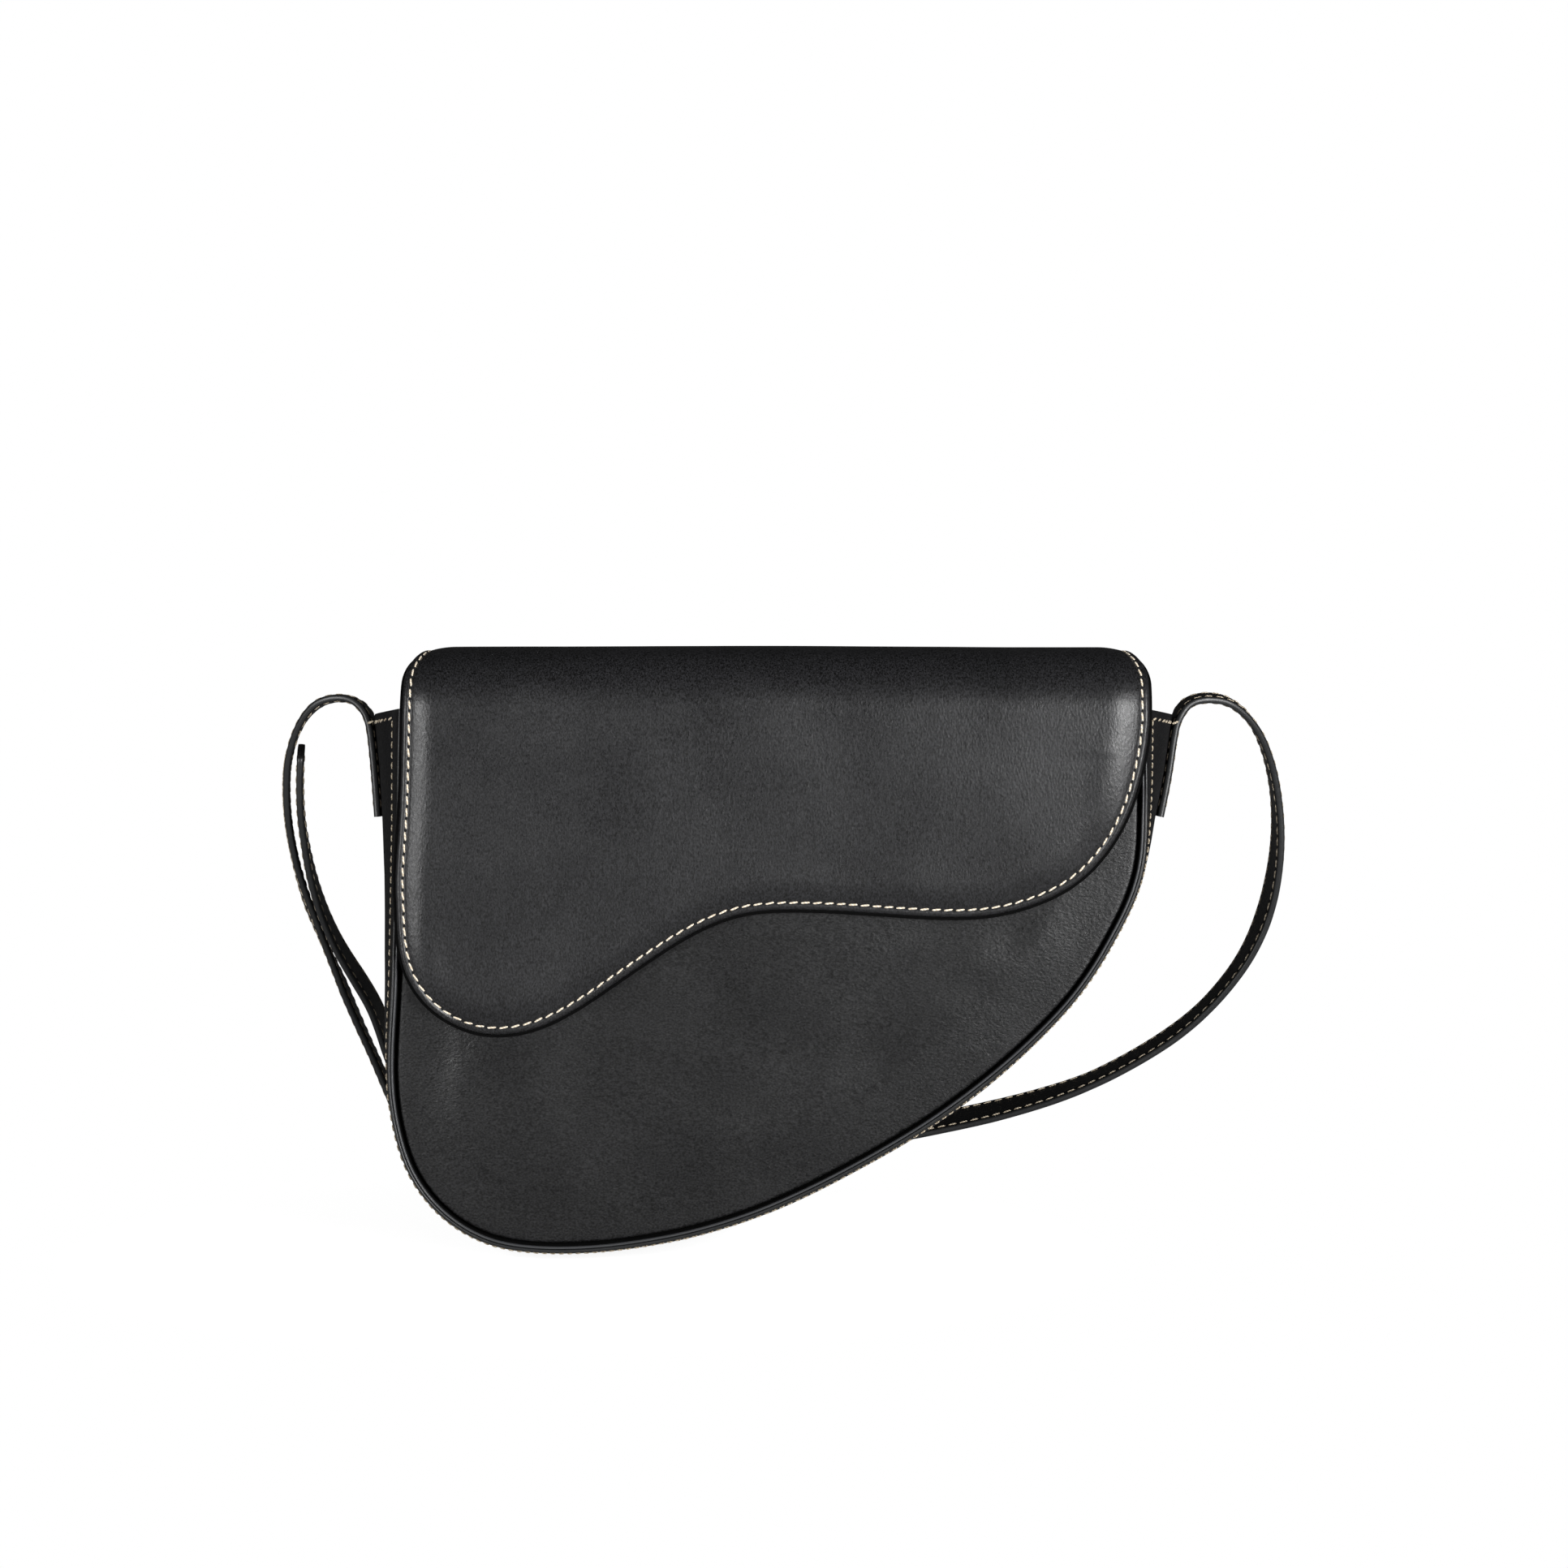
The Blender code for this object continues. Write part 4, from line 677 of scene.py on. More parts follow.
def thread_row(path, ups, pitch, length, radius, slant=6, lift=0.0, phase=0.5):
    """Stitches along a path that lies on a surface: plump short strands whose ends dive in."""
    stitches = []
    for centre, along, up in stitch_marks(path, ups, pitch, phase):
        turn = Matrix.Rotation(radians(slant + random.uniform(-2, 2)), 3, up)
        along = turn @ along
        across = up.cross(along)
        stitch = bmesh.new()
        bmesh.ops.create_uvsphere(stitch, u_segments=8, v_segments=7, radius=1)
        for v in stitch.verts:
            x, y, z = v.co
            full = sqrt(max(0.0, 1 - z**4)) / sqrt(max(1e-6, 1 - z * z)) if abs(z) < 0.999 else 1
            dive = -0.5 * z**4 * radius
            v.co = (
                centre
                + across * (x * full * radius)
                + up * (y * full * radius * 0.8 + dive + lift)
                + along * (z * length / 2)
            )
        stitches.append(stitch)
    return join(stitches)


def stitch_marks(path, ups, pitch, phase):
    """Evenly spaced marks on a path: place, direction and the surface's normal."""
    along = distances(path)
    count = max(1, round(along[-1] / pitch))
    pitch = along[-1] / count
    places = np.array([tuple(p) for p in path])
    faces = np.array([tuple(u) for u in ups])
    marks = []
    for k in range(count + (phase == 0)):
        at = (k + phase) * pitch
        here, there = max(0, at - pitch * 0.2), min(along[-1], at + pitch * 0.2)
        pick = lambda s, t: Vector([np.interp(s, along, t[:, c]) for c in range(3)])
        centre = pick(at, places)
        way = (pick(there, places) - pick(here, places)).normalized()
        up = pick(at, faces)
        up = (up - way * up.dot(way)).normalized()
        marks.append((centre, way, up))
    return marks


def hole_shade_row(path, ups, pitch, radius, lift):
    """Near-black discs just over the surface between the stitches: painted shade for the needle holes."""
    holes = []
    for centre, along, up in stitch_marks(path, ups, pitch, 0.0):
        across = up.cross(along)
        hole = bmesh.new()
        bmesh.ops.create_uvsphere(hole, u_segments=10, v_segments=5, radius=1)
        for v in hole.verts:
            x, y, z = v.co
            v.co = centre + across * (x * radius) + along * (y * radius * 1.1) + up * (z * 0.1 + lift)
        holes.append(hole)
    return join(holes)


# The flap

FLAP_LEFT, FLAP_RIGHT = -134.2, 142.3
FLAP_MIDDLE = (FLAP_LEFT + FLAP_RIGHT) / 2
# The left side leans out below this length
LEAN_TOP = 105.0
# The front and rear faces, the top face, and the radii of the two rolls between them
FRONT_Y, BACK_Y, FLAP_Z = -75.4, 4.2, 115.5
FRONT_ROLL, REAR_ROLL = 24.0, 14.0
# Lengths over the flap: both ends of the front roll, the halves' joint, both ends of the rear roll, the tail
W_FRONT = FLAP_Z - FRONT_ROLL
W_TOP = W_FRONT + FRONT_ROLL * pi / 2
W_SPLIT = W_TOP + (-35 - (FRONT_Y + FRONT_ROLL))
W_REAR = W_TOP + (BACK_Y - REAR_ROLL) - (FRONT_Y + FRONT_ROLL)
W_DOWN = W_REAR + REAR_ROLL * pi / 2
W_TAIL = W_DOWN + (FLAP_Z - REAR_ROLL - 62)
TAIL_CORNER = 7


def over_flap(w, depth):
    """The place (y, z) and the outward direction at the length w over the flap's outer face."""
    if w <= W_FRONT:
        return (FRONT_Y + depth, w), (-1, 0)
    if w <= W_TOP:
        a = (w - W_FRONT) / FRONT_ROLL
        r = FRONT_ROLL - depth
        return (FRONT_Y + FRONT_ROLL - r * cos(a), FLAP_Z - FRONT_ROLL + r * sin(a)), (-cos(a), sin(a))
    if w <= W_REAR:
        return (FRONT_Y + FRONT_ROLL + w - W_TOP, FLAP_Z - depth), (0, 1)
    if w <= W_DOWN:
        a = (w - W_REAR) / REAR_ROLL
        r = REAR_ROLL - depth
        return (BACK_Y - REAR_ROLL + r * sin(a), FLAP_Z - REAR_ROLL + r * cos(a)), (sin(a), cos(a))
    return (BACK_Y - depth, FLAP_Z - REAR_ROLL - (w - W_DOWN)), (1, 0)


def pad_rise(inset, ease):
    """The padding's height: an even slope beside the stitches that eases off into the face."""
    foot, even, slope = 3.2, 3.5, 0.32
    walked = max(0.0, inset - foot)
    if walked < even:
        return slope * walked
    eased = min(1.0, (walked - even) / ease)
    return slope * (even + ease * (eased - eased * eased / 2))


def flap_place(p, depth, inset):
    """A place on the flap, with the padding's swell, soft lumps and the top's slight sag."""
    x, w = p[0], p[1]
    over_top = smooth_step(W_FRONT - 6, W_TOP - 4, w)
    if depth < 1 and inset > 3.3:
        ease = 5.5 + 3.6 * smooth_step(30, 110, x) * (1 - over_top)
        depth -= pad_rise(inset, ease) * (1 - 0.45 * over_top)
        fade = smooth_step(4, 16, inset) * (1 - 0.75 * over_top)
        depth += fade * (0.4 * soft_noise((x, 0, w), 55, 21) + 0.16 * soft_noise((x, 0, w), 22, 4))
    # The hem hangs in against the panel, but clear of the rim
    if w < 76:
        free = smooth_step(9, 26, from_outline(x, w))
        depth += 2.5 * free * (1 - smooth_step(4, 56, w - hem_height(x)))
    # The sides draw in a little over the top
    over = smooth_step(W_FRONT + 14, W_TOP + 10, w) * (1 - smooth_step(W_REAR, W_DOWN + 10, w))
    x = FLAP_MIDDLE + (x - FLAP_MIDDLE) * (1 - 0.044 * smooth_step(W_FRONT + 12, W_FRONT + 42, w))
    (y, z), _ = over_flap(w, depth)
    wave = 0.5 - 0.5 * cos(2 * pi * (x + 20) / 300)
    sag = over * (0.7 * wave + 0.25 * soft_noise((x, 0, 0), 60, 2))
    return Vector((x, y, z - sag))


HEM_CURVE = np.array([tuple(p) for p in smooth_line([(x, z) for x, z in HEM], 400)])


def hem_height(x):
    """The hem's height at a distance along the bag."""
    return float(np.interp(x, HEM_CURVE[:, 0], HEM_CURVE[:, 1]))


def flap_line(part):
    """The border of the flap's front or rear half, in (x, w)."""
    if part == "front":
        foot = Vector((HEM[0][0], HEM[0][1] + 3))
        line = [Vector((FLAP_LEFT, w)) for w in np.linspace(W_SPLIT, LEAN_TOP, 60)]
        line += smooth_line([line[-1], (-134.8, 80), (-135.8, 52), (-137.2, 31), foot], 60)[1:]
        line += smooth_line([(x, z) for x, z in HEM], 400)
        line += [Vector((FLAP_RIGHT, w)) for w in np.linspace(HEM[-1][1] + 1.5, W_SPLIT, 60)]
        return line
    corner = TAIL_CORNER
    low = W_TAIL - corner
    line = [Vector((FLAP_LEFT, w)) for w in np.linspace(W_SPLIT, low, 60)]
    for a in np.linspace(0, pi / 2, 14)[1:]:
        line.append(Vector((FLAP_LEFT + corner * (1 - cos(a)), low + corner * sin(a))))
    for a in np.linspace(pi / 2, 0, 14):
        line.append(Vector((FLAP_RIGHT - corner * (1 - cos(a)), low + corner * sin(a))))
    return line + [Vector((FLAP_RIGHT, w)) for w in np.linspace(low, W_SPLIT, 60)[1:]]


STITCH_INSET, STITCH_DEPTH, STITCH_PITCH = 2.75, 0.42, 4.45
# Sections of the hide and the lining at the flap's edge: inset and depth
FLAP_EDGE = (
    (16, 0), (14, 0), (12.4, 0), (11, 0), (9.6, 0), (8.4, 0), (7.2, 0), (6.1, 0), (5.1, 0.02), (4.3, 0.08),
    (3.7, 0.24), (3.25, 0.38), (2.75, 0.44), (2.3, 0.34), (1.95, 0.2), (1.6, 0.14), (1.2, 0.2), (0.8, 0.38),
    (0.42, 0.68), (0.14, 1.1), (0.0, 1.6), (0.05, 2.1), (0.2, 2.5), (0.5, 2.75), (0.3, 3.0), (0.2, 3.3),
    (0.5, 3.6), (1.0, 3.8), (2.4, 3.85), (4, 3.85), (9, 3.8), (9.6, 3.2), (16, 3.15),
)
CLOTH_EDGE = ((14, 3.3), (9.9, 3.3), (9.75, 3.5), (9.75, 3.8), (9.9, 3.95), (14, 4.0))
# The raw edge of the flap's inner layers looks out below the turned hide as a near-black lip: painted shade
# for the dark line under the hem
FLAP_SHADE_LIP = (
    (0.8, 1.9), (0.1, 1.85), (-0.6, 2.0), (-1.0, 2.3), (-1.1, 2.65), (-0.9, 2.95), (-0.1, 3.1), (0.8, 3.1),
    (0.8, 1.9),
)


class Flap(Shield):
    """Half of the flap. The rear half's border runs the other way up, so it is mirrored."""

    def __init__(self, part):
        self.part = part
        line = [self.turned(p) for p in flap_line(part)]
        corners_and_steps = (166, 112, 70, 104) if part == "front" else (80, 80, 40, 104)
        super().__init__(line, *corners_and_steps, self.on_flap)

    def turned(self, p):
        """A point of the flap on the half's own border, or the other way round."""
        return p if self.part == "front" else Vector((p[0], 2 * W_SPLIT - p[1]))

    def on_flap(self, p, depth, inset):
        return flap_place(self.turned(p), depth, inset)

    def inward(self, k, inset):
        """The rear's corners are tight, so their radius shrinks as the border moves in."""
        if self.part == "front":
            return super().inward(k, inset)
        foot = 2 * W_SPLIT - W_TAIL
        radius = max(TAIL_CORNER - inset, 0.3)
        half = (FLAP_RIGHT - FLAP_LEFT) / 2
        x, w = self.edge[k]
        side = -1 if x < FLAP_MIDDLE else 1
        out = half - TAIL_CORNER
        new_out = half - inset - radius
        across = abs(x - FLAP_MIDDLE)
        across = new_out + (across - out) / TAIL_CORNER * radius if across > out else across / out * new_out
        low, new_low = foot + TAIL_CORNER, foot + inset + radius
        if w < low:
            w = new_low + (w - low) / TAIL_CORNER * radius
        else:
            w = W_SPLIT - (W_SPLIT - w) / (W_SPLIT - low) * (W_SPLIT - new_low)
        return Vector((FLAP_MIDDLE + side * across, w))

    def row(self, inset, depth):
        """A path along the border at the inset, with the surface's normals."""
        path, ups = [], []
        for p, n in zip(self.edge, self.out):
            q = p - n * inset
            path.append(self.place(q, depth, 0))
            y, z = over_flap(self.turned(q)[1], 0)[1]
            ups.append(Vector((0, y, z)))
        return path, ups


def flap_pieces():
    """Both halves of the flap: leather, lining, stitches, and the needle holes' painted shade."""
    for part in ("front", "rear"):
        flap = Flap(part)
        # The blend runs over the roll that the hinge stands in for
        if part == "front":
            start, end = (0, FRONT_Y + FRONT_ROLL, FLAP_Z), (0, FRONT_Y, FLAP_Z - FRONT_ROLL)
        else:
            start, end = (0, BACK_Y, FLAP_Z - REAR_ROLL), (0, BACK_Y - REAR_ROLL, FLAP_Z)
        start, end = Vector(start) * MM, Vector(end) * MM
        name = "flap_" + part
        skin = piece(flap.shell(FLAP_EDGE), name + "_hide", [FLAP_HIDE], sharp=60)
        cloth = piece(flap.shell(CLOTH_EDGE), name + "_microfibre", [SUEDE])
        # A near-black lip of painted shade along the flap's edge
        rim = piece(flap.strip(FLAP_SHADE_LIP), name + "_edge", [RAW_EDGE_SHADE], sharp=60)
        if part == "front":
            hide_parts("flap_front_leather", "flap_front_pad")
            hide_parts("flap_front_lining")
        else:
            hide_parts("flap_rear_leather", "flap_top_leather")
            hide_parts("flap_rear_lining", "flap_top_lining")
        path, ups = flap.row(STITCH_INSET, STITCH_DEPTH)
        strands = thread_row(path, ups, STITCH_PITCH, length=3.45, radius=0.36, slant=7, lift=0.12)
        stitches = piece(strands, name + "_stitches", [FLAP_THREAD], close=False)
        shade_dots = hole_shade_row(path, ups, STITCH_PITCH, radius=0.56, lift=0.06)
        holes = piece(shade_dots, name + "_needle_hole_shade", [HOLE_SHADE], close=False)
        for made in (skin, cloth, stitches, holes, rim):
            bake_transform(made)


# The strap

HALF_STRAP = 9.0
# Half of a face across, from the painted edge over the sunk stitch row to the middle
HALF_FACE = (
    (-HALF_STRAP, 0.0), (-8.95, 0.45), (-8.78, 0.85), (-8.48, 1.15), (-8.05, 1.32), (-7.6, 1.3),
    (-7.25, 1.2), (-6.9, 1.1), (-6.55, 1.2), (-6.2, 1.32), (-5.4, 1.38), (-2.0, 1.42), (-1.0, 1.42),
    (0.0, 1.42),
)
STRAP_FACE = HALF_FACE + tuple((-a, b) for a, b in HALF_FACE[-2::-1])
STRAP_RING = STRAP_FACE + tuple((-a, -b) for a, b in STRAP_FACE[1:-1])


def frames(path, side, rolls=(0, 0)):
    """Across, and out of the face, at each point of a strap's path."""
    last = len(path) - 1
    steps = np.linspace(0, last, len(rolls))
    made = []
    for i in range(len(path)):
        along = (path[min(i + 1, last)] - path[max(i - 1, 0)]).normalized()
        wide = Vector((0, 1, 0))
        wide = (wide - along * wide.dot(along)).normalized()
        proud = wide.cross(along) * side
        turn = radians(float(np.interp(i, steps, rolls)))
        made.append((wide * cos(turn) + proud * sin(turn), proud * cos(turn) - wide * sin(turn)))
    return made


def turns(path, table):
    """The strap's turn at each point of its path."""
    return list(np.interp(distances(path), [d for d, _ in table], [t for _, t in table]))


class Ribbon:
    """A flat strap along a path: sections, rows of stitches and holes."""

    def __init__(self, path, side, rolls=(0, 0), thick=None):
        self.path = path
        self.frames = frames(path, side, rolls)
        self.thick = thick or [1.0] * len(path)

    def cut(self, first, last):
        """A stretch of the same ribbon."""
        part = Ribbon.__new__(Ribbon)
        part.path = self.path[first:last]
        part.frames = self.frames[first:last]
        part.thick = self.thick[first:last]
        return part

    def sections(self, round_start=0.0, round_end=0.0):
        """Closed sections. A rounded end has its corners taken off in its last millimetres."""
        columns = []
        walked = distances(self.path)
        for p, (wide, face), thick, d in zip(self.path, self.frames, self.thick, walked):
            half = HALF_STRAP
            for radius, gap in ((round_start, d), (round_end, walked[-1] - d)):
                if radius and gap < radius:
                    half -= radius - sqrt(radius**2 - (radius - gap) ** 2)
            keep = half / HALF_STRAP
            ring = [p + wide * (a * keep) + face * (b * thick) for a, b in STRAP_RING]
            ring.append(ring[0].copy())
            columns.append(ring)
        return columns

    def row(self, across, face, start=2.5, end=2.5):
        """A path on one face, the distance across from the middle, trimmed at both ends."""
        height = 1.12 * face
        path = [p + w * across + f * height * t for p, (w, f), t in zip(self.path, self.frames, self.thick)]
        walked = distances(path)
        kept = [i for i, d in enumerate(walked) if start <= d <= walked[-1] - end]
        return [path[i] for i in kept], [self.frames[i][1] * face for i in kept]

    def stitches(self, faces=(1, -1), start=2.5, end=2.5):
        rows = []
        for face in faces:
            for across in (-6.9, 6.9):
                path, ups = self.row(across, face, start, end)
                rows.append(thread_row(path, ups, pitch=4.5, length=3.4, radius=0.42, slant=5, lift=0.17))
        return join(rows)


def slot_cut(bm, low, high, half):
    """Cuts a slot for the prong through a strap, between two X values, and walls it."""
    bmesh.ops.remove_doubles(bm, verts=bm.verts, dist=0.004)
    bmesh.ops.holes_fill(bm, edges=open_edges(bm), sides=0)
    gone = []
    for face in bm.faces:
        c = face.calc_center_median()
        if low < c.x < high and abs(c.y - BUCKLE.y) < half:
            gone.append(face)
    bmesh.ops.delete(bm, geom=gone, context="FACES")
    bmesh.ops.bridge_loops(bm, edges=open_edges(bm))


def edge_painted(ribbon):
    """Picks the painted edge faces of a strap from how far they lie from its middle."""
    middle = np.array([tuple(p) for p in ribbon.path])
    wides = np.array([tuple(w) for w, _ in ribbon.frames])

    def pick(face):
        c = np.array(tuple(face.calc_center_median()))
        k = int(np.argmin(np.einsum("ij,ij->i", middle - c, middle - c)))
        return 1 if abs(float((c - middle[k]) @ wides[k])) > 8.5 else 0

    return pick


def strap_piece(ribbon, name, replaced, ends=(0, 0), slot=None):
    """A strap's leather, with rounded ends and a slot where the call gives them."""
    bm = quilt(ribbon.sections(*ends))
    if slot:
        slot_cut(bm, *slot)
    made = piece(bm, name, [STRAP_HIDE, EDGE], sharp=50, pick=edge_painted(ribbon))
    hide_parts(replaced)
    return made


def buckle_at(along, rise):
    """A place beside the buckle's near bar, along the strap and above it."""
    return BUCKLE + Vector((along, 0, rise))


# Radius of the short strap's fold round the near bar, and how much of its thickness is left there
WRAP, SKIVED = 2.45, 0.48
# From the buckle's near bar to its far bar, and the radius of its rod
FRAME_LONG, FRAME_ROD = 17, 1.5
# Half the strap's thickness, half of it where the fold is thinned, and the room left between leathers
HALF_THICK, HALF_FOLD, CLEAR = 1.35, 0.65, 0.3
# X values past the crests where the leather of each loop meets its strand
LEFT_JOIN, RIGHT_JOIN = -182.7, 186.5
# The prong's slots in both straps: from and to an X value, and half the width
SHORT_SLOT = (-69.6, -63.0, 2.0)
LONG_SLOT = (-69.6, -55.8, 2.0)


def strap_pieces():
    """Both loops, which twist at their crests, and the strands that swing with them."""
    # Left: sewn end, crest, short strand, and the fold round the buckle's bar
    left_path = smooth_line(LEFT_ROUTE, 330)
    left_turns = turns(left_path, LEFT_TURN)
    path = list(left_path)
    thick = [1.0] * len(path)
    skiving = ((-15, 1.0), (-12, 1.0), (-9.5, 0.98), (-7.35, 0.9), (-5, 0.72), (-2.5, 0.55), (-1, SKIVED))
    for along, share in skiving:
        path.append(buckle_at(along, WRAP - (1 - share) * 0.3))
        thick.append(share)
    for a in np.linspace(0, pi, 15):
        path.append(buckle_at(WRAP * sin(a), WRAP * cos(a)))
        thick.append(SKIVED)
    for along, rise in ((-1.6, -2.3), (-3.2, -1.7), (-5, -1.05), (-7.0, -0.45), (-9, -0.05), (-11, 0.12)):
        path.append(buckle_at(along, rise))
        thick.append(SKIVED)
    for along in np.linspace(-12.5, -24, 9):
        path.append(buckle_at(float(along), 0.15))
        thick.append(SKIVED)
    whole = Ribbon(path, -1, left_turns + [0] * (len(path) - len(left_path)), thick)
    join_at = next(i for i, p in enumerate(path) if p.x < LEFT_JOIN)
    left_loop = strap_piece(whole.cut(0, join_at + 1), "strap_loop_left", "strap_end_left")
    short = strap_piece(whole.cut(join_at, len(path)), "strap_short_leather", "strap_short", slot=SHORT_SLOT)
    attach(short, "strap")

    # Right: sewn end, crest, long strand, through the buckle, and back as the free tail
    strand_path = smooth_line(RIGHT_ROUTE, 430)
    # The long strap runs under the far bar and over the fold
    over = WRAP + HALF_FOLD + CLEAR + HALF_THICK
    under = -(FRAME_ROD + CLEAR + HALF_THICK)
    slope = asin((over - under) / FRAME_LONG)
    through = []
    for a in np.linspace(0, slope, 9):
        through.append(buckle_at(FRAME_LONG + under * sin(a), under * cos(a)))
    for a in np.linspace(slope, 0, 9):
        through.append(buckle_at(over * sin(a), over * cos(a)))
    tail = smooth_line(TAIL_ROUTE, 190)
    lead = [strand_path[-1].lerp(through[0], t) for t in (0.25, 0.5, 0.75)]
    gap = [through[-1].lerp(tail[0], t) for t in (0.33, 0.67)]
    path = strand_path + lead + through + gap + tail
    between = [0] * (len(lead) + len(through) + len(gap))
    rolls = turns(strand_path, RIGHT_TURN) + between + turns(tail, TAIL_TURN)
    whole = Ribbon(path, 1, rolls)
    join_at = next(i for i, p in enumerate(path) if p.x > RIGHT_JOIN)
    loop = whole.cut(0, join_at + 1)
    strand = whole.cut(join_at, len(path))
    right_loop = strap_piece(loop, "strap_loop_right", "strap_end_right")
    long = strap_piece(strand, "strap_long_leather", "strap_long", ends=(0, 2.4), slot=LONG_SLOT)
    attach(long, "strap")
    strap_threads(left_loop, right_loop, loop, strand, Ribbon(left_path, -1, left_turns))


def strap_threads(left_loop, right_loop, loop, strand, left):
    """The stitch rows of the loops, the strands and the tail."""
    cut_left = next(i for i, p in enumerate(left.path) if p.x < LEFT_JOIN)
    rows = {
        "strap_loop_left_stitches": left.cut(0, cut_left + 1).stitches(start=2.5, end=0.5),
        "strap_loop_right_stitches": loop.stitches(start=2.5, end=0.5),
        "strap_short_stitches": left.cut(cut_left, len(left.path)).stitches(start=0.5, end=1),
        "strap_long_stitches": strand.stitches(start=0.5, end=3),
    }
    for name, bm in rows.items():
        made = piece(bm, name, [SEAM_THREAD], close=False)
        if "loop_left" in name:
            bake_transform(made)
        elif "loop_right" in name:
            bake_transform(made)
        else:
            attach(made, "strap")
    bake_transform(left_loop)
    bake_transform(right_loop)


def tube(path, radius, closed=False, flat=1.0, sides=14, ends=()):
    """A rod with an oval section along a path. Ends says how thick it is at each point of the path."""
    columns = []
    last = len(path) - 1
    for i, p in enumerate(path):
        if closed:
            along = (path[(i + 1) % len(path)] - path[i - 1]).normalized()
        else:
            along = (path[min(i + 1, last)] - path[max(i - 1, 0)]).normalized()
        up = Vector((0, 0, 1)) if abs(along.z) < 0.2 and closed else Vector((0, 1, 0))
        side = along.cross(up).normalized()
        up = side.cross(along)
        grow = ends[i] if ends else 1.0
        ring = []
        for a in np.linspace(0, 2 * pi, sides + 1):
            ring.append(p + side * (radius * flat * cos(a) * grow) + up * (radius * sin(a) * grow))
        columns.append(ring)
    if closed:
        columns.append([p.copy() for p in columns[0]])
    return quilt(columns)


def buckle_pieces():
    """The nickel frame, the prong and both leather keepers."""
    half, corner = HALF_STRAP + 1.2 + FRAME_ROD, 2.2
    path = []
    far = FRAME_LONG
    for x, y, start in ((0, -half, pi), (far, -half, 1.5 * pi), (far, half, 0), (0, half, 0.5 * pi)):
        cx = corner if x == 0 else far - corner
        cy = y - corner if y > 0 else y + corner
        for a in np.linspace(start, start + pi / 2, 9):
            path.append(BUCKLE + Vector((cx + corner * cos(a), cy + corner * sin(a), 0)))
    whole = []
    for a, b in zip(path, path[1:] + path[:1]):
        steps = max(1, round((b - a).length / 1.2))
        whole += [a.lerp(b, k / steps) for k in range(steps)]
    bm = tube(whole, FRAME_ROD, closed=True, sides=16)
    made = piece(bm, "buckle_frame_nickel", [NICKEL])
    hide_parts("buckle_frame")
    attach(made, "strap")

    # The prong curls round the near bar and reaches past the far one, where it narrows
    curl, reach, wide, thin = 2.7, 18.4, 1.3, 0.9
    path, grow = [], []
    for a in np.linspace(-0.9 * pi / 2, -3 * pi / 2, 22):
        path.append(buckle_at(curl * cos(a), curl * sin(a)))
        grow.append(1.0)
    for t in np.linspace(0.12, 1, 12):
        path.append(buckle_at(reach * t, curl))
        grow.append(1.0 - 0.12 * t if t < 0.93 else 0.62)
    bm = tube(path, wide, flat=thin / wide, sides=12, ends=grow)
    made = piece(bm, "buckle_prong_nickel", [NICKEL])
    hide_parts("buckle_prong")
    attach(made, "prong")

    # How far behind the near bar each keeper sits, and the height of the lowest leather in it
    for name, back, lowest, body in (
        ("keeper_fixed", 18, 0.15 - HALF_FOLD, "strap"),
        ("keeper_sliding", 33, WRAP - HALF_THICK, "loose_keeper"),
    ):
        over, under = 5.45 + HALF_THICK + CLEAR, lowest - CLEAR
        high, wide = (over - under) / 2 + HALF_KEEPER, 10.2 + HALF_KEEPER
        middle = buckle_at(-back, (over + under) / 2)
        made = piece(keeper(middle, wide, high), name + "_leather", [STRAP_HIDE])
        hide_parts(name)
        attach(made, body)


# Half a keeper's thickness, and its section: along the strap and out of the loop
HALF_KEEPER = 0.7
KEEPER_FACE = ((-3, 0.35), (-2.7, 0.62), (-2.2, HALF_KEEPER), (2.2, HALF_KEEPER), (2.7, 0.62), (3, 0.35))
KEEPER_SECTION = KEEPER_FACE + tuple((u, -v) for u, v in KEEPER_FACE[::-1])


def keeper(middle, wide, high):
    """A closed leather loop round the strap, half as wide and as high as the call says."""
    loop = []
    for sy, sz, start in ((1, 1, 0), (-1, 1, pi / 2), (-1, -1, pi), (1, -1, 1.5 * pi)):
        for a in np.linspace(start, start + pi / 2, 6):
            loop.append((sy * (wide - 1) + cos(a), sz * (high - 1) + sin(a)))
    columns = []
    for i, (y, z) in enumerate(loop):
        a, b = loop[i - 1], loop[(i + 1) % len(loop)]
        run = Vector((0, b[0] - a[0], b[1] - a[1])).normalized()
        out = Vector((0, run.z, -run.y))
        ring = [middle + Vector((u, y, z)) + out * v for u, v in KEEPER_SECTION]
        ring.append(ring[0].copy())
        columns.append(ring)
    columns.append([p.copy() for p in columns[0]])
    return quilt(columns)


# Seams of the body

# The hem's stitches run over the strap's sewn end: y and height above the gusset
HEM_CLIMB = (
    (-66.4, 0.05), (-58, 0.05), (-50, 0.05), (-45.2, 0.05), (-44.4, 0.9), (-44.2, 2.0), (-43.4, 2.9),
    (-40, 2.95), (-35, 2.95), (-30, 2.95), (-26.6, 2.9), (-25.8, 2.0), (-25.6, 0.9), (-24.8, 0.05),
    (-14, 0.05), (-3.6, 0.05),
)


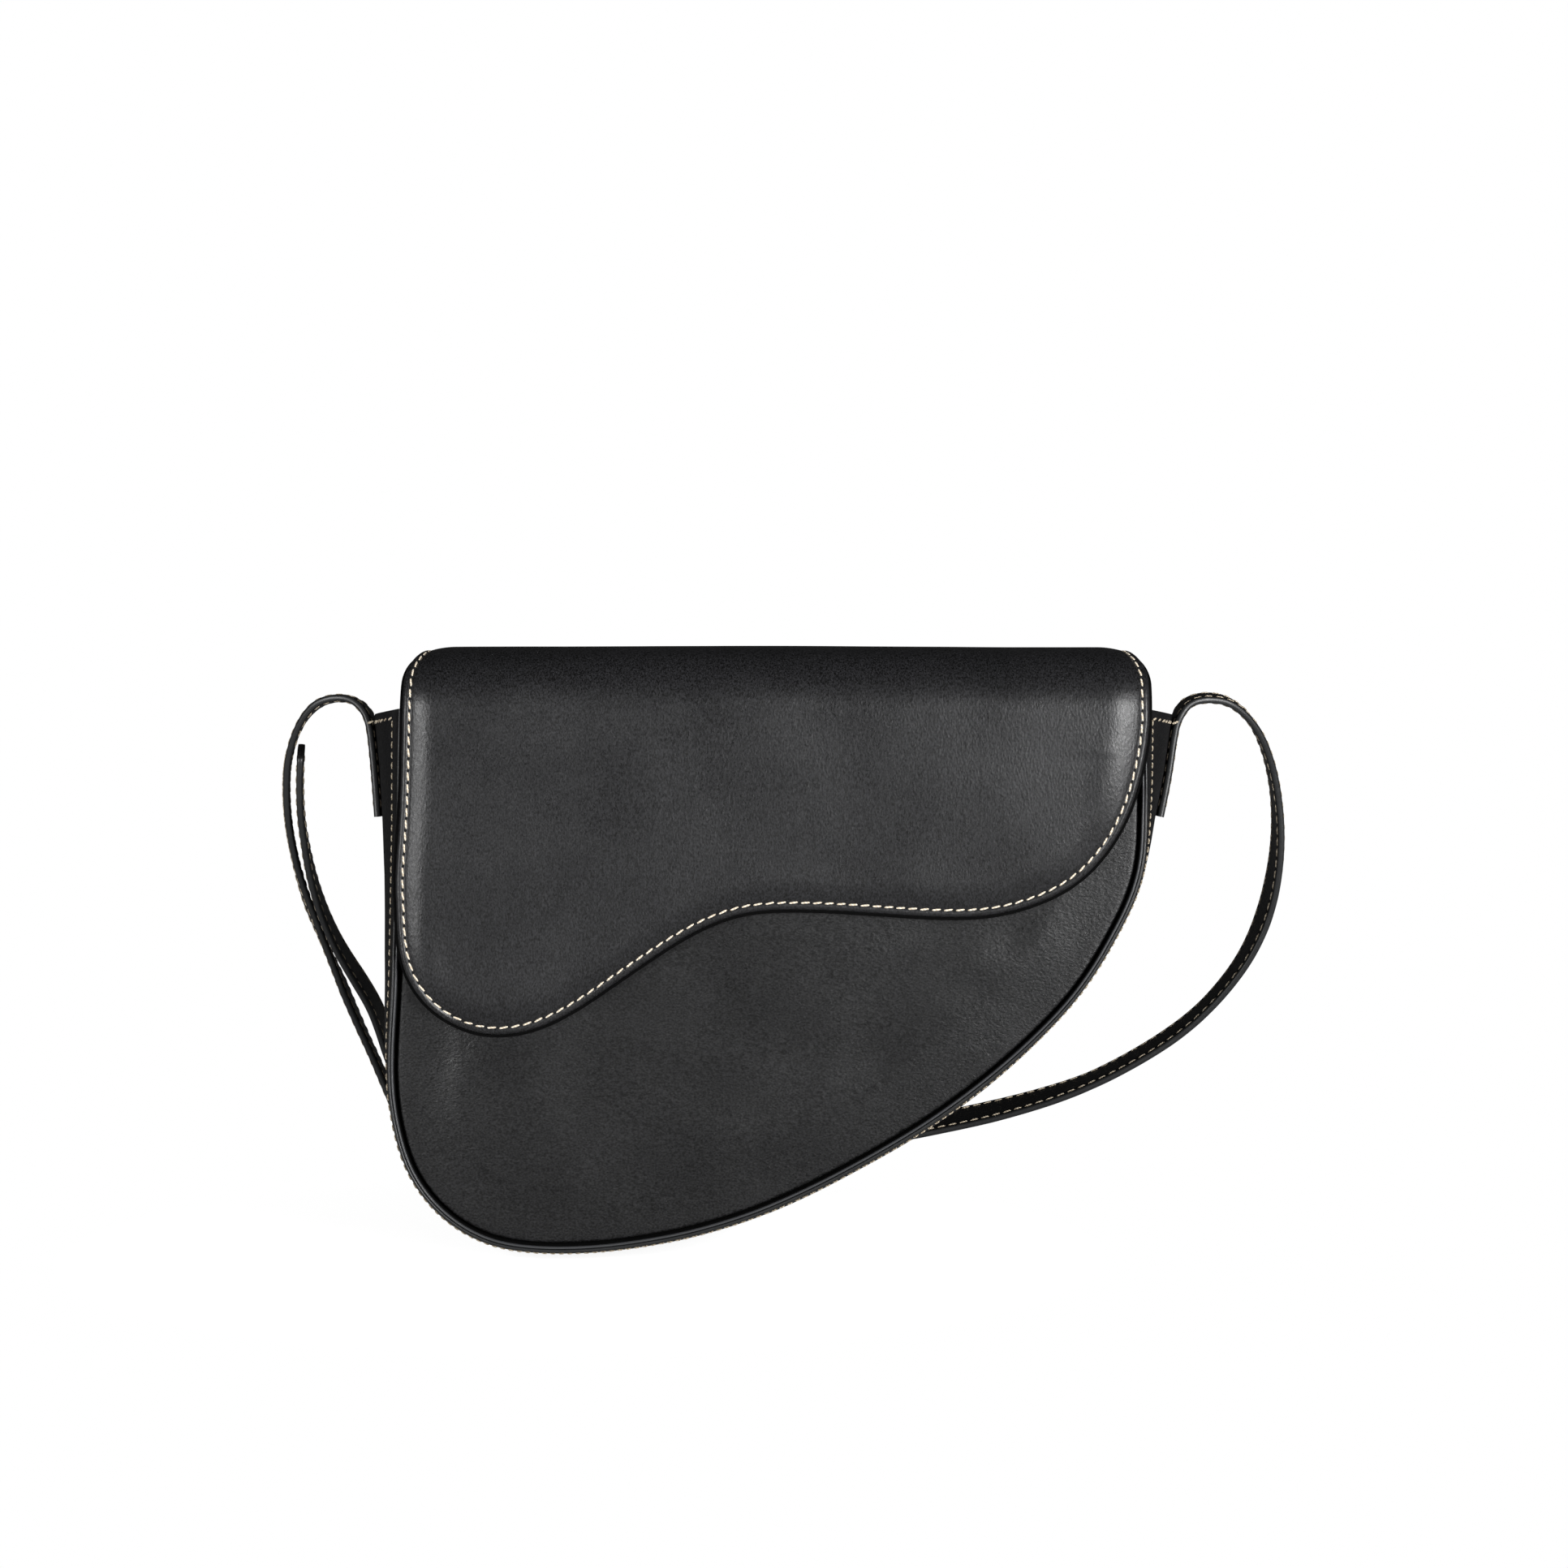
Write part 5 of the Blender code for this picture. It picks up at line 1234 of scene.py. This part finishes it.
def body_threads():
    """The seams beside both rims, and the hems at the gusset's ends."""
    rows = []
    count = len(GUSSET_LINE)
    for y in (-66.4, -3.6):
        path, ups = [], []
        for i in range(2, count - 2):
            path.append(gusset_point(i, 0.05, y))
            n = GUSSET_OUT[i]
            ups.append(Vector((n[0], 0, n[1])))
        # The stitches down the left side are longer than the others
        foot = count // 3
        for part, pitch, length in ((slice(0, foot + 1), 3.9, 2.7), (slice(foot, None), 3.15, 2.3)):
            rows.append(thread_row(path[part], ups[part], pitch, length, radius=0.37, slant=9, lift=0.14))
    for i, side in ((0, -1), (count - 1, 1)):
        j = i + 1 if i == 0 else i - 1
        path, ups = [], []
        for y, rise in HEM_CLIMB:
            a, b = gusset_point(i, rise, y), gusset_point(j, rise, y)
            share = 2.6 / max(0.5, a.z - b.z)
            path.append(a.lerp(b, share))
            ups.append(Vector((side, -0.9 if 0.3 < rise < 2.6 and y < -35 else 0, 0.05)).normalized())
        rows.append(thread_row(path, ups, pitch=4.0, length=3.0, radius=0.42, slant=18, lift=0.14))
    made = piece(join(rows), "gusset_stitches", [SEAM_THREAD], close=False)
    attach(made, "bag")


# Inside


def flat_cloth(name, side, near, far, replaced, window=None):
    """A sheet of lining on a panel's inside, cut round the zip where it has a window."""

    def place(p, depth, inset):
        return Vector((p[0], behind_face(side, depth), p[1]))

    shield = Shield(OUTLINE_LINE, PANEL_CORNER, PANEL_CORNER, 60, 70, place)
    bm = shield.shell([(9, near), (2, near), (2, far), (9, far)])
    bmesh.ops.remove_doubles(bm, verts=bm.verts, dist=0.004)
    if window:
        x0, x1, z0, z1 = window
        across, up = Vector((1, 0, 0)), Vector((0, 0, 1))
        for at, way in ((x0, across), (x1, across), (z0, up), (z1, up)):
            everything = bm.verts[:] + bm.edges[:] + bm.faces[:]
            bmesh.ops.bisect_plane(bm, geom=everything, plane_co=way * at, plane_no=way)
        gone = []
        for f in bm.faces:
            c = f.calc_center_median()
            if x0 < c.x < x1 and z0 < c.z < z1:
                gone.append(f)
        bmesh.ops.delete(bm, geom=gone, context="FACES")
        loops = [e for e in bm.edges if e.is_boundary and all(v.co.z < 85 for v in e.verts)]
        bmesh.ops.bridge_loops(bm, edges=loops)
    made = piece(bm, name, [LINING])
    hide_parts(replaced)
    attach(made, "bag")


def mouth_binding(side):
    """The leather that turns over a panel's top edge and lies inside as its facing."""
    near, far = (2.4, 10.9) if side == "front" else (-0.1, 13.7)
    outer, inner = near - 0.75, far - 1.5
    foot, crown, roll = TOP - 8.0, TOP - 0.7, 1.6
    section = [(near, foot), (near - 0.55, foot), (outer, foot + 0.8)]
    for a in np.linspace(0, pi, 13):
        section.append((outer + (far + 0.2 - outer) * (0.5 - 0.5 * cos(a)), crown + roll * sin(a)))
    section += [(far + 0.1, 67.5), (far - 0.1, 66.7), (far - 0.7, 66.5), (inner, 66.9)]
    section += [(inner, TOP - 0.8), (near + 0.2, TOP - 0.8), section[0]]
    columns = []
    for x in np.linspace(-127.4, 132.5, 110):
        wave = 0.18 * soft_noise((x, 0, 0), 30, 6)
        columns.append([Vector((x, behind_face(side, d + wave), z)) for d, z in section])
    made = piece(quilt(columns), side + "_mouth_leather", [SIDE_HIDE], sharp=50)
    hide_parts(side + "_facing")
    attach(made, "bag")
    rows = []
    y = behind_face(side, far + 0.12)
    up = Vector((0, 1 if side == "front" else -1, 0))
    for z in (88.0, 69.1):
        path = [Vector((x, y, z)) for x in np.linspace(-123, 128, 60)]
        rows.append(thread_row(path, [up] * 60, pitch=4.4, length=3.2, radius=0.36, slant=0, lift=0.1))
    made = piece(join(rows), side + "_mouth_stitches", [SEAM_THREAD], close=False)
    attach(made, "bag")


def lathe(profile, steps=56):
    """A round metal piece about the Y axis, from (radius, y) pairs that start and end at 0."""
    bm = bmesh.new()
    verts = [bm.verts.new((r, y, 0)) for r, y in profile]
    edges = [bm.edges.new(pair) for pair in zip(verts, verts[1:])]
    bmesh.ops.spin(
        bm, geom=verts + edges, cent=(0, 0, 0), axis=(0, 1, 0), angle=2 * pi, steps=steps, use_merge=True
    )
    return bm


def snap_pieces():
    """The magnetic snap: a cup with a sunk magnet, and a stud with its post."""
    x, z = 8.49, 51.6
    # Y values of the cup's foot on the panel, of its rim, and of the stud's foot on the flap
    foot, stud_foot = -67.8, -71.2
    rim = foot - 1.86
    cup = (
        (0, rim + 1.1), (4.6, rim + 1.1), (5.2, rim + 0.95), (5.5, rim + 0.3), (5.8, rim), (8.2, rim),
        (8.8, rim + 0.3), (9.0, foot - 0.8), (9.0, foot), (0, foot),
    )
    stud = (
        (0, 0), (9, 0), (9, 0.7), (8.8, 1.05), (8.2, 1.24), (3.6, 1.24), (3.1, 1.4), (3.0, 2.0), (2.7, 2.3),
        (0, 2.34),
    )
    stud = [(radius, stud_foot + y) for radius, y in stud]
    for profile, name, body in ((cup, "snap_cup", "bag"), (stud, "snap_stud", "flap_front")):
        bm = lathe(profile)
        bmesh.ops.translate(bm, vec=(x, 0, z), verts=bm.verts)
        made = piece(bm, name + "_nickel", [NICKEL], close=False)
        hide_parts(name)
        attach(made, body)


def block(low, high):
    """A box between two corners, ready for its edges to be rounded."""
    bm = bmesh.new()
    size = Vector(high) - Vector(low)
    bmesh.ops.create_cube(bm, size=1, matrix=Matrix.Diagonal((*size, 1)))
    bmesh.ops.translate(bm, vec=(Vector(low) + Vector(high)) / 2, verts=bm.verts)
    return bm


def bevelled(bm, width, steps):
    """Rounds all the edges of a small metal part."""
    bmesh.ops.bevel(
        bm, geom=bm.edges[:], offset=width, segments=steps, profile=0.5, affect="EDGES", material=-1
    )
    return bm


def zip_pieces():
    """The zip pocket: herringbone tapes, metal teeth, stops, slider, puller and pouch."""
    # The middle of the zip
    zx, zz = -11.32, 46.0
    for word, way in (("upper", 1), ("lower", -1)):
        lo, hi = sorted((zz + way * 0.7, zz + way * 13.7))
        tape = block((zx - 79, -10.8, lo), (zx + 79, -10.2, hi))
        made = piece(tape, "zip_" + word + "_tape", [ZIP_CLOTH])
        rounded(made, 0.2, 2)
        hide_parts("zip_tape_" + word)
        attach(made, "bag")
        teeth = []
        shift = 0.0 if way > 0 else 1.25
        for k in range(53):
            x = zx - 66.6 + k * 2.5 + shift
            lo, hi = sorted((zz + way * 0.72, zz + way * 2.6))
            teeth.append(bevelled(block((x - 0.72, -12.55, lo), (x + 0.72, -10.6, hi)), 0.22, 1))
        made = piece(join(teeth), "zip_" + word + "_teeth", [NICKEL], close=False)
        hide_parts("zip_teeth_" + word)
        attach(made, "bag")
    for word, x in (("left", zx - 70), ("right", zx + 67.6)):
        stop = block((x, -12.6, zz - 2.2), (x + 2.4, -11.1, zz + 2.2))
        made = piece(stop, "zip_" + word + "_stop", [NICKEL])
        rounded(made, 0.4, 3)
        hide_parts("zip_stop_" + word)
        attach(made, "bag")
    rear = block((zx - 70, -8.8, zz - 85), (zx + 70, -8.3, zz + 13))
    front = block((zx - 70, -9.9, zz - 85), (zx + 70, -9.3, zz - 4.6))
    pouch = piece(join([rear, front]), "zip_pouch_twill", [LINING], close=False)
    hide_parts("pocket_pouch")
    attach(pouch, "bag")
    corners = []
    for x, z in ((-72.6, -8.4), (72.6, -8.4), (72.6, 8.4), (-72.6, 8.4), (-72.6, -8.4)):
        corners.append(Vector((zx + x, -11.95, zz + z)))
    rows = []
    for a, b in zip(corners, corners[1:]):
        path = [a.lerp(b, t) for t in np.linspace(0, 1, 20)]
        ups = [Vector((0, -1, 0))] * 20
        rows.append(thread_row(path, ups, pitch=3.2, length=2.3, radius=0.28, slant=0, lift=0.08))
    made = piece(join(rows), "zip_window_stitches", [SEAM_THREAD], close=False)
    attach(made, "bag")
    slider_piece(zx, zz)


def slider_piece(zx, zz):
    """The slider with its crown, and the puller with its eye."""
    # Where the slider stands at rest
    middle = 51.48
    plate = block((middle - 4.5, -13.7, zz - 4), (middle + 4.5, -12.9, zz + 4))
    for v in plate.verts:
        if v.co.x < middle:
            v.co.z = zz + (v.co.z - zz) * 0.72
    rear = block((middle - 4.5, -9.9, zz - 4), (middle + 4.5, -9.1, zz + 4))
    web = block((middle - 3.6, -13.2, zz - 0.4), (middle + 4.4, -9.6, zz + 0.4))
    for part in (plate, rear, web):
        bevelled(part, 0.3, 2)
    arch = []
    for t in np.linspace(0, 1, 15):
        a = pi * t
        arch.append(Vector((middle - 2.7 * cos(a), -13.3 - 3.2 * sin(a) ** 0.7, zz)))
    crown = []
    for i, p in enumerate(arch):
        along = (arch[min(i + 1, len(arch) - 1)] - arch[max(i - 1, 0)]).normalized()
        out = along.cross(Vector((0, 0, 1)))
        ring = []
        for a in np.linspace(0, 2 * pi, 13):
            ring.append(p + out * (0.5 * cos(a)) + Vector((0, 0, 1.1 * sin(a))))
        crown.append(ring)
    made = piece(join([plate, rear, web, quilt(crown)]), "zip_slider_nickel", [NICKEL])
    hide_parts("zip_slider")
    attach(made, "slider")
    # The puller's outline has a small round end at its eye and a larger one at its far end
    tab = bmesh.new()
    front = -15.4
    ring = []
    for a in np.linspace(-pi / 2, pi / 2, 12):
        ring.append(tab.verts.new((middle - 1.5 + 2.2 * cos(a), front, zz + 2.2 * sin(a))))
    for a in np.linspace(pi / 2, 1.5 * pi, 16):
        ring.append(tab.verts.new((middle - 22.3 + 3.0 * cos(a), front, zz + 3.0 * sin(a))))
    hole = []
    for a in np.linspace(0, 2 * pi, 20, endpoint=False):
        hole.append(tab.verts.new((middle - 2.6 + 2.0 * cos(a), front, zz + 1.35 * sin(a))))
    edges = [tab.edges.new(pair) for pair in zip(ring, ring[1:] + ring[:1])]
    edges += [tab.edges.new(pair) for pair in zip(hole, hole[1:] + hole[:1])]
    bmesh.ops.triangle_fill(tab, edges=edges, use_beauty=True)
    pushed = bmesh.ops.extrude_face_region(tab, geom=tab.faces[:])["geom"]
    pushed = [g for g in pushed if isinstance(g, bmesh.types.BMVert)]
    bmesh.ops.translate(tab, vec=(0, 1.4, 0), verts=pushed)
    made = piece(tab, "zip_puller_nickel", [NICKEL], close=False)
    rounded(made, 0.3, 3)
    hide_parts("zip_puller")
    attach(made, "puller")


# The studio


def floor_finish():
    """A matte pale floor. To the camera it glows to white, all the more so away from the bag, and
    it keeps the bag's shadow."""
    made, tree, shader, place = finish("matte_pale_floor", "#dcdcdc", 0.95)
    out = tree.nodes["Material Output"]
    glow = add(tree, "ShaderNodeEmission", {"Color": (1, 1, 1, 1), "Strength": 0.87})
    white = add(tree, "ShaderNodeEmission", {"Color": (1, 1, 1, 1), "Strength": 1.0})
    near = add(tree, "ShaderNodeAddShader", {0: shader.outputs[0], 1: glow.outputs[0]})
    foot = add(tree, "ShaderNodeVectorMath", {0: place, 1: FOOT}, operation="SUBTRACT").outputs["Vector"]
    away = add(tree, "ShaderNodeVectorMath", {0: foot}, operation="LENGTH").outputs["Value"]
    shares = {0: ramp(tree, away, 0.07, 0.2), 1: near.outputs[0], 2: white.outputs[0]}
    seen = add(tree, "ShaderNodeMixShader", shares)
    camera = add(tree, "ShaderNodeLightPath").outputs["Is Camera Ray"]
    mix = add(tree, "ShaderNodeMixShader", {0: camera, 1: shader.outputs[0], 2: seen.outputs[0]})
    tree.links.new(mix.outputs[0], out.inputs["Surface"])
    return made


def area_light(name, place, aim, wide, high, power):
    """A soft box that looks at the place aimed at: sizes in metres, power in watts."""
    lamp = bpy.data.lights.new(name, "AREA")
    lamp.shape = "RECTANGLE"
    lamp.size, lamp.size_y = wide, high
    lamp.energy = power
    made = bpy.data.objects.new(name, lamp)
    bpy.context.collection.objects.link(made)
    made.location = place
    made.rotation_euler = (Vector(aim) - Vector(place)).to_track_quat("-Z", "Y").to_euler()


def studio():
    """A pale floor, a room that is dim overhead and behind and brighter in front, and soft boxes."""
    bm = bmesh.new()
    bmesh.ops.create_grid(bm, x_segments=1, y_segments=1, size=12)
    for v in bm.verts:
        v.co.z = FLOOR_Z * MM
    mesh = bpy.data.meshes.new("floor")
    bm.to_mesh(mesh)
    bm.free()
    mesh.materials.append(floor_finish())
    floor = bpy.data.objects.new("floor", mesh)
    bpy.context.collection.objects.link(floor)

    world = bpy.data.worlds.new("studio")
    bpy.context.scene.world = world
    world.use_nodes = True
    tree = world.node_tree
    back = tree.nodes["Background"]
    way = add(tree, "ShaderNodeTexCoord").outputs["Generated"]
    parts = add(tree, "ShaderNodeSeparateXYZ", {0: way}).outputs
    overhead = ramp(tree, parts["Z"], 0.28, 0.8, 0.27, 0.05)
    level = math(tree, "MULTIPLY", overhead, ramp(tree, parts["Y"], -0.7, 0.2, 1.0, 0.16))
    path = add(tree, "ShaderNodeLightPath").outputs["Is Camera Ray"]
    level = add(tree, "ShaderNodeMix", {"Factor": path, 2: level, 3: 1.0}).outputs[0]
    tree.links.new(level, back.inputs["Strength"])
    back.inputs["Color"].default_value = (1, 1, 1, 1)

    area_light("box_left", (-1.1, -1.25, 0.2), (0, 0, 0), 0.5, 0.9, 17.5)
    area_light("box_right", (0.93, -1.36, 0.25), (0.04, 0, 0.02), 0.55, 0.9, 33)

    camera = bpy.data.cameras.new("camera")
    camera.lens, camera.sensor_width = 75.28, 36
    camera.clip_start = 0.01
    eye = bpy.data.objects.new("camera", camera)
    bpy.context.collection.objects.link(eye)
    eye.location = (0.0069, -1.2885, 0.10166)
    eye.rotation_euler = (radians(90 - 1.72), 0, 0)
    bpy.context.scene.camera = eye
    bpy.context.scene.view_settings.view_transform = "Standard"


def carried_over():
    """The solids that stay, hidden between the leather and the lining, in their own finishes."""
    finishes = {
        "front_board": BOARD,
        "back_board": BOARD,
        "snap_cup_washer": NICKEL,
        "snap_stud_washer": NICKEL,
    }
    for name, made in finishes.items():
        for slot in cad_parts[name].material_slots:
            slot.material = made


def main():
    panel("front")
    panel("back")
    gusset_pieces()
    body_threads()
    flap_pieces()
    strap_pieces()
    buckle_pieces()
    flat_cloth("front_twill", "front", 8.3, 9.1, "front_lining")
    flat_cloth("back_twill", "back", 11.1, 11.9, "back_lining", (-81.6, 59.0, 40.0, 52.0))
    mouth_binding("front")
    mouth_binding("back")
    snap_pieces()
    zip_pieces()
    carried_over()
    studio()


main()
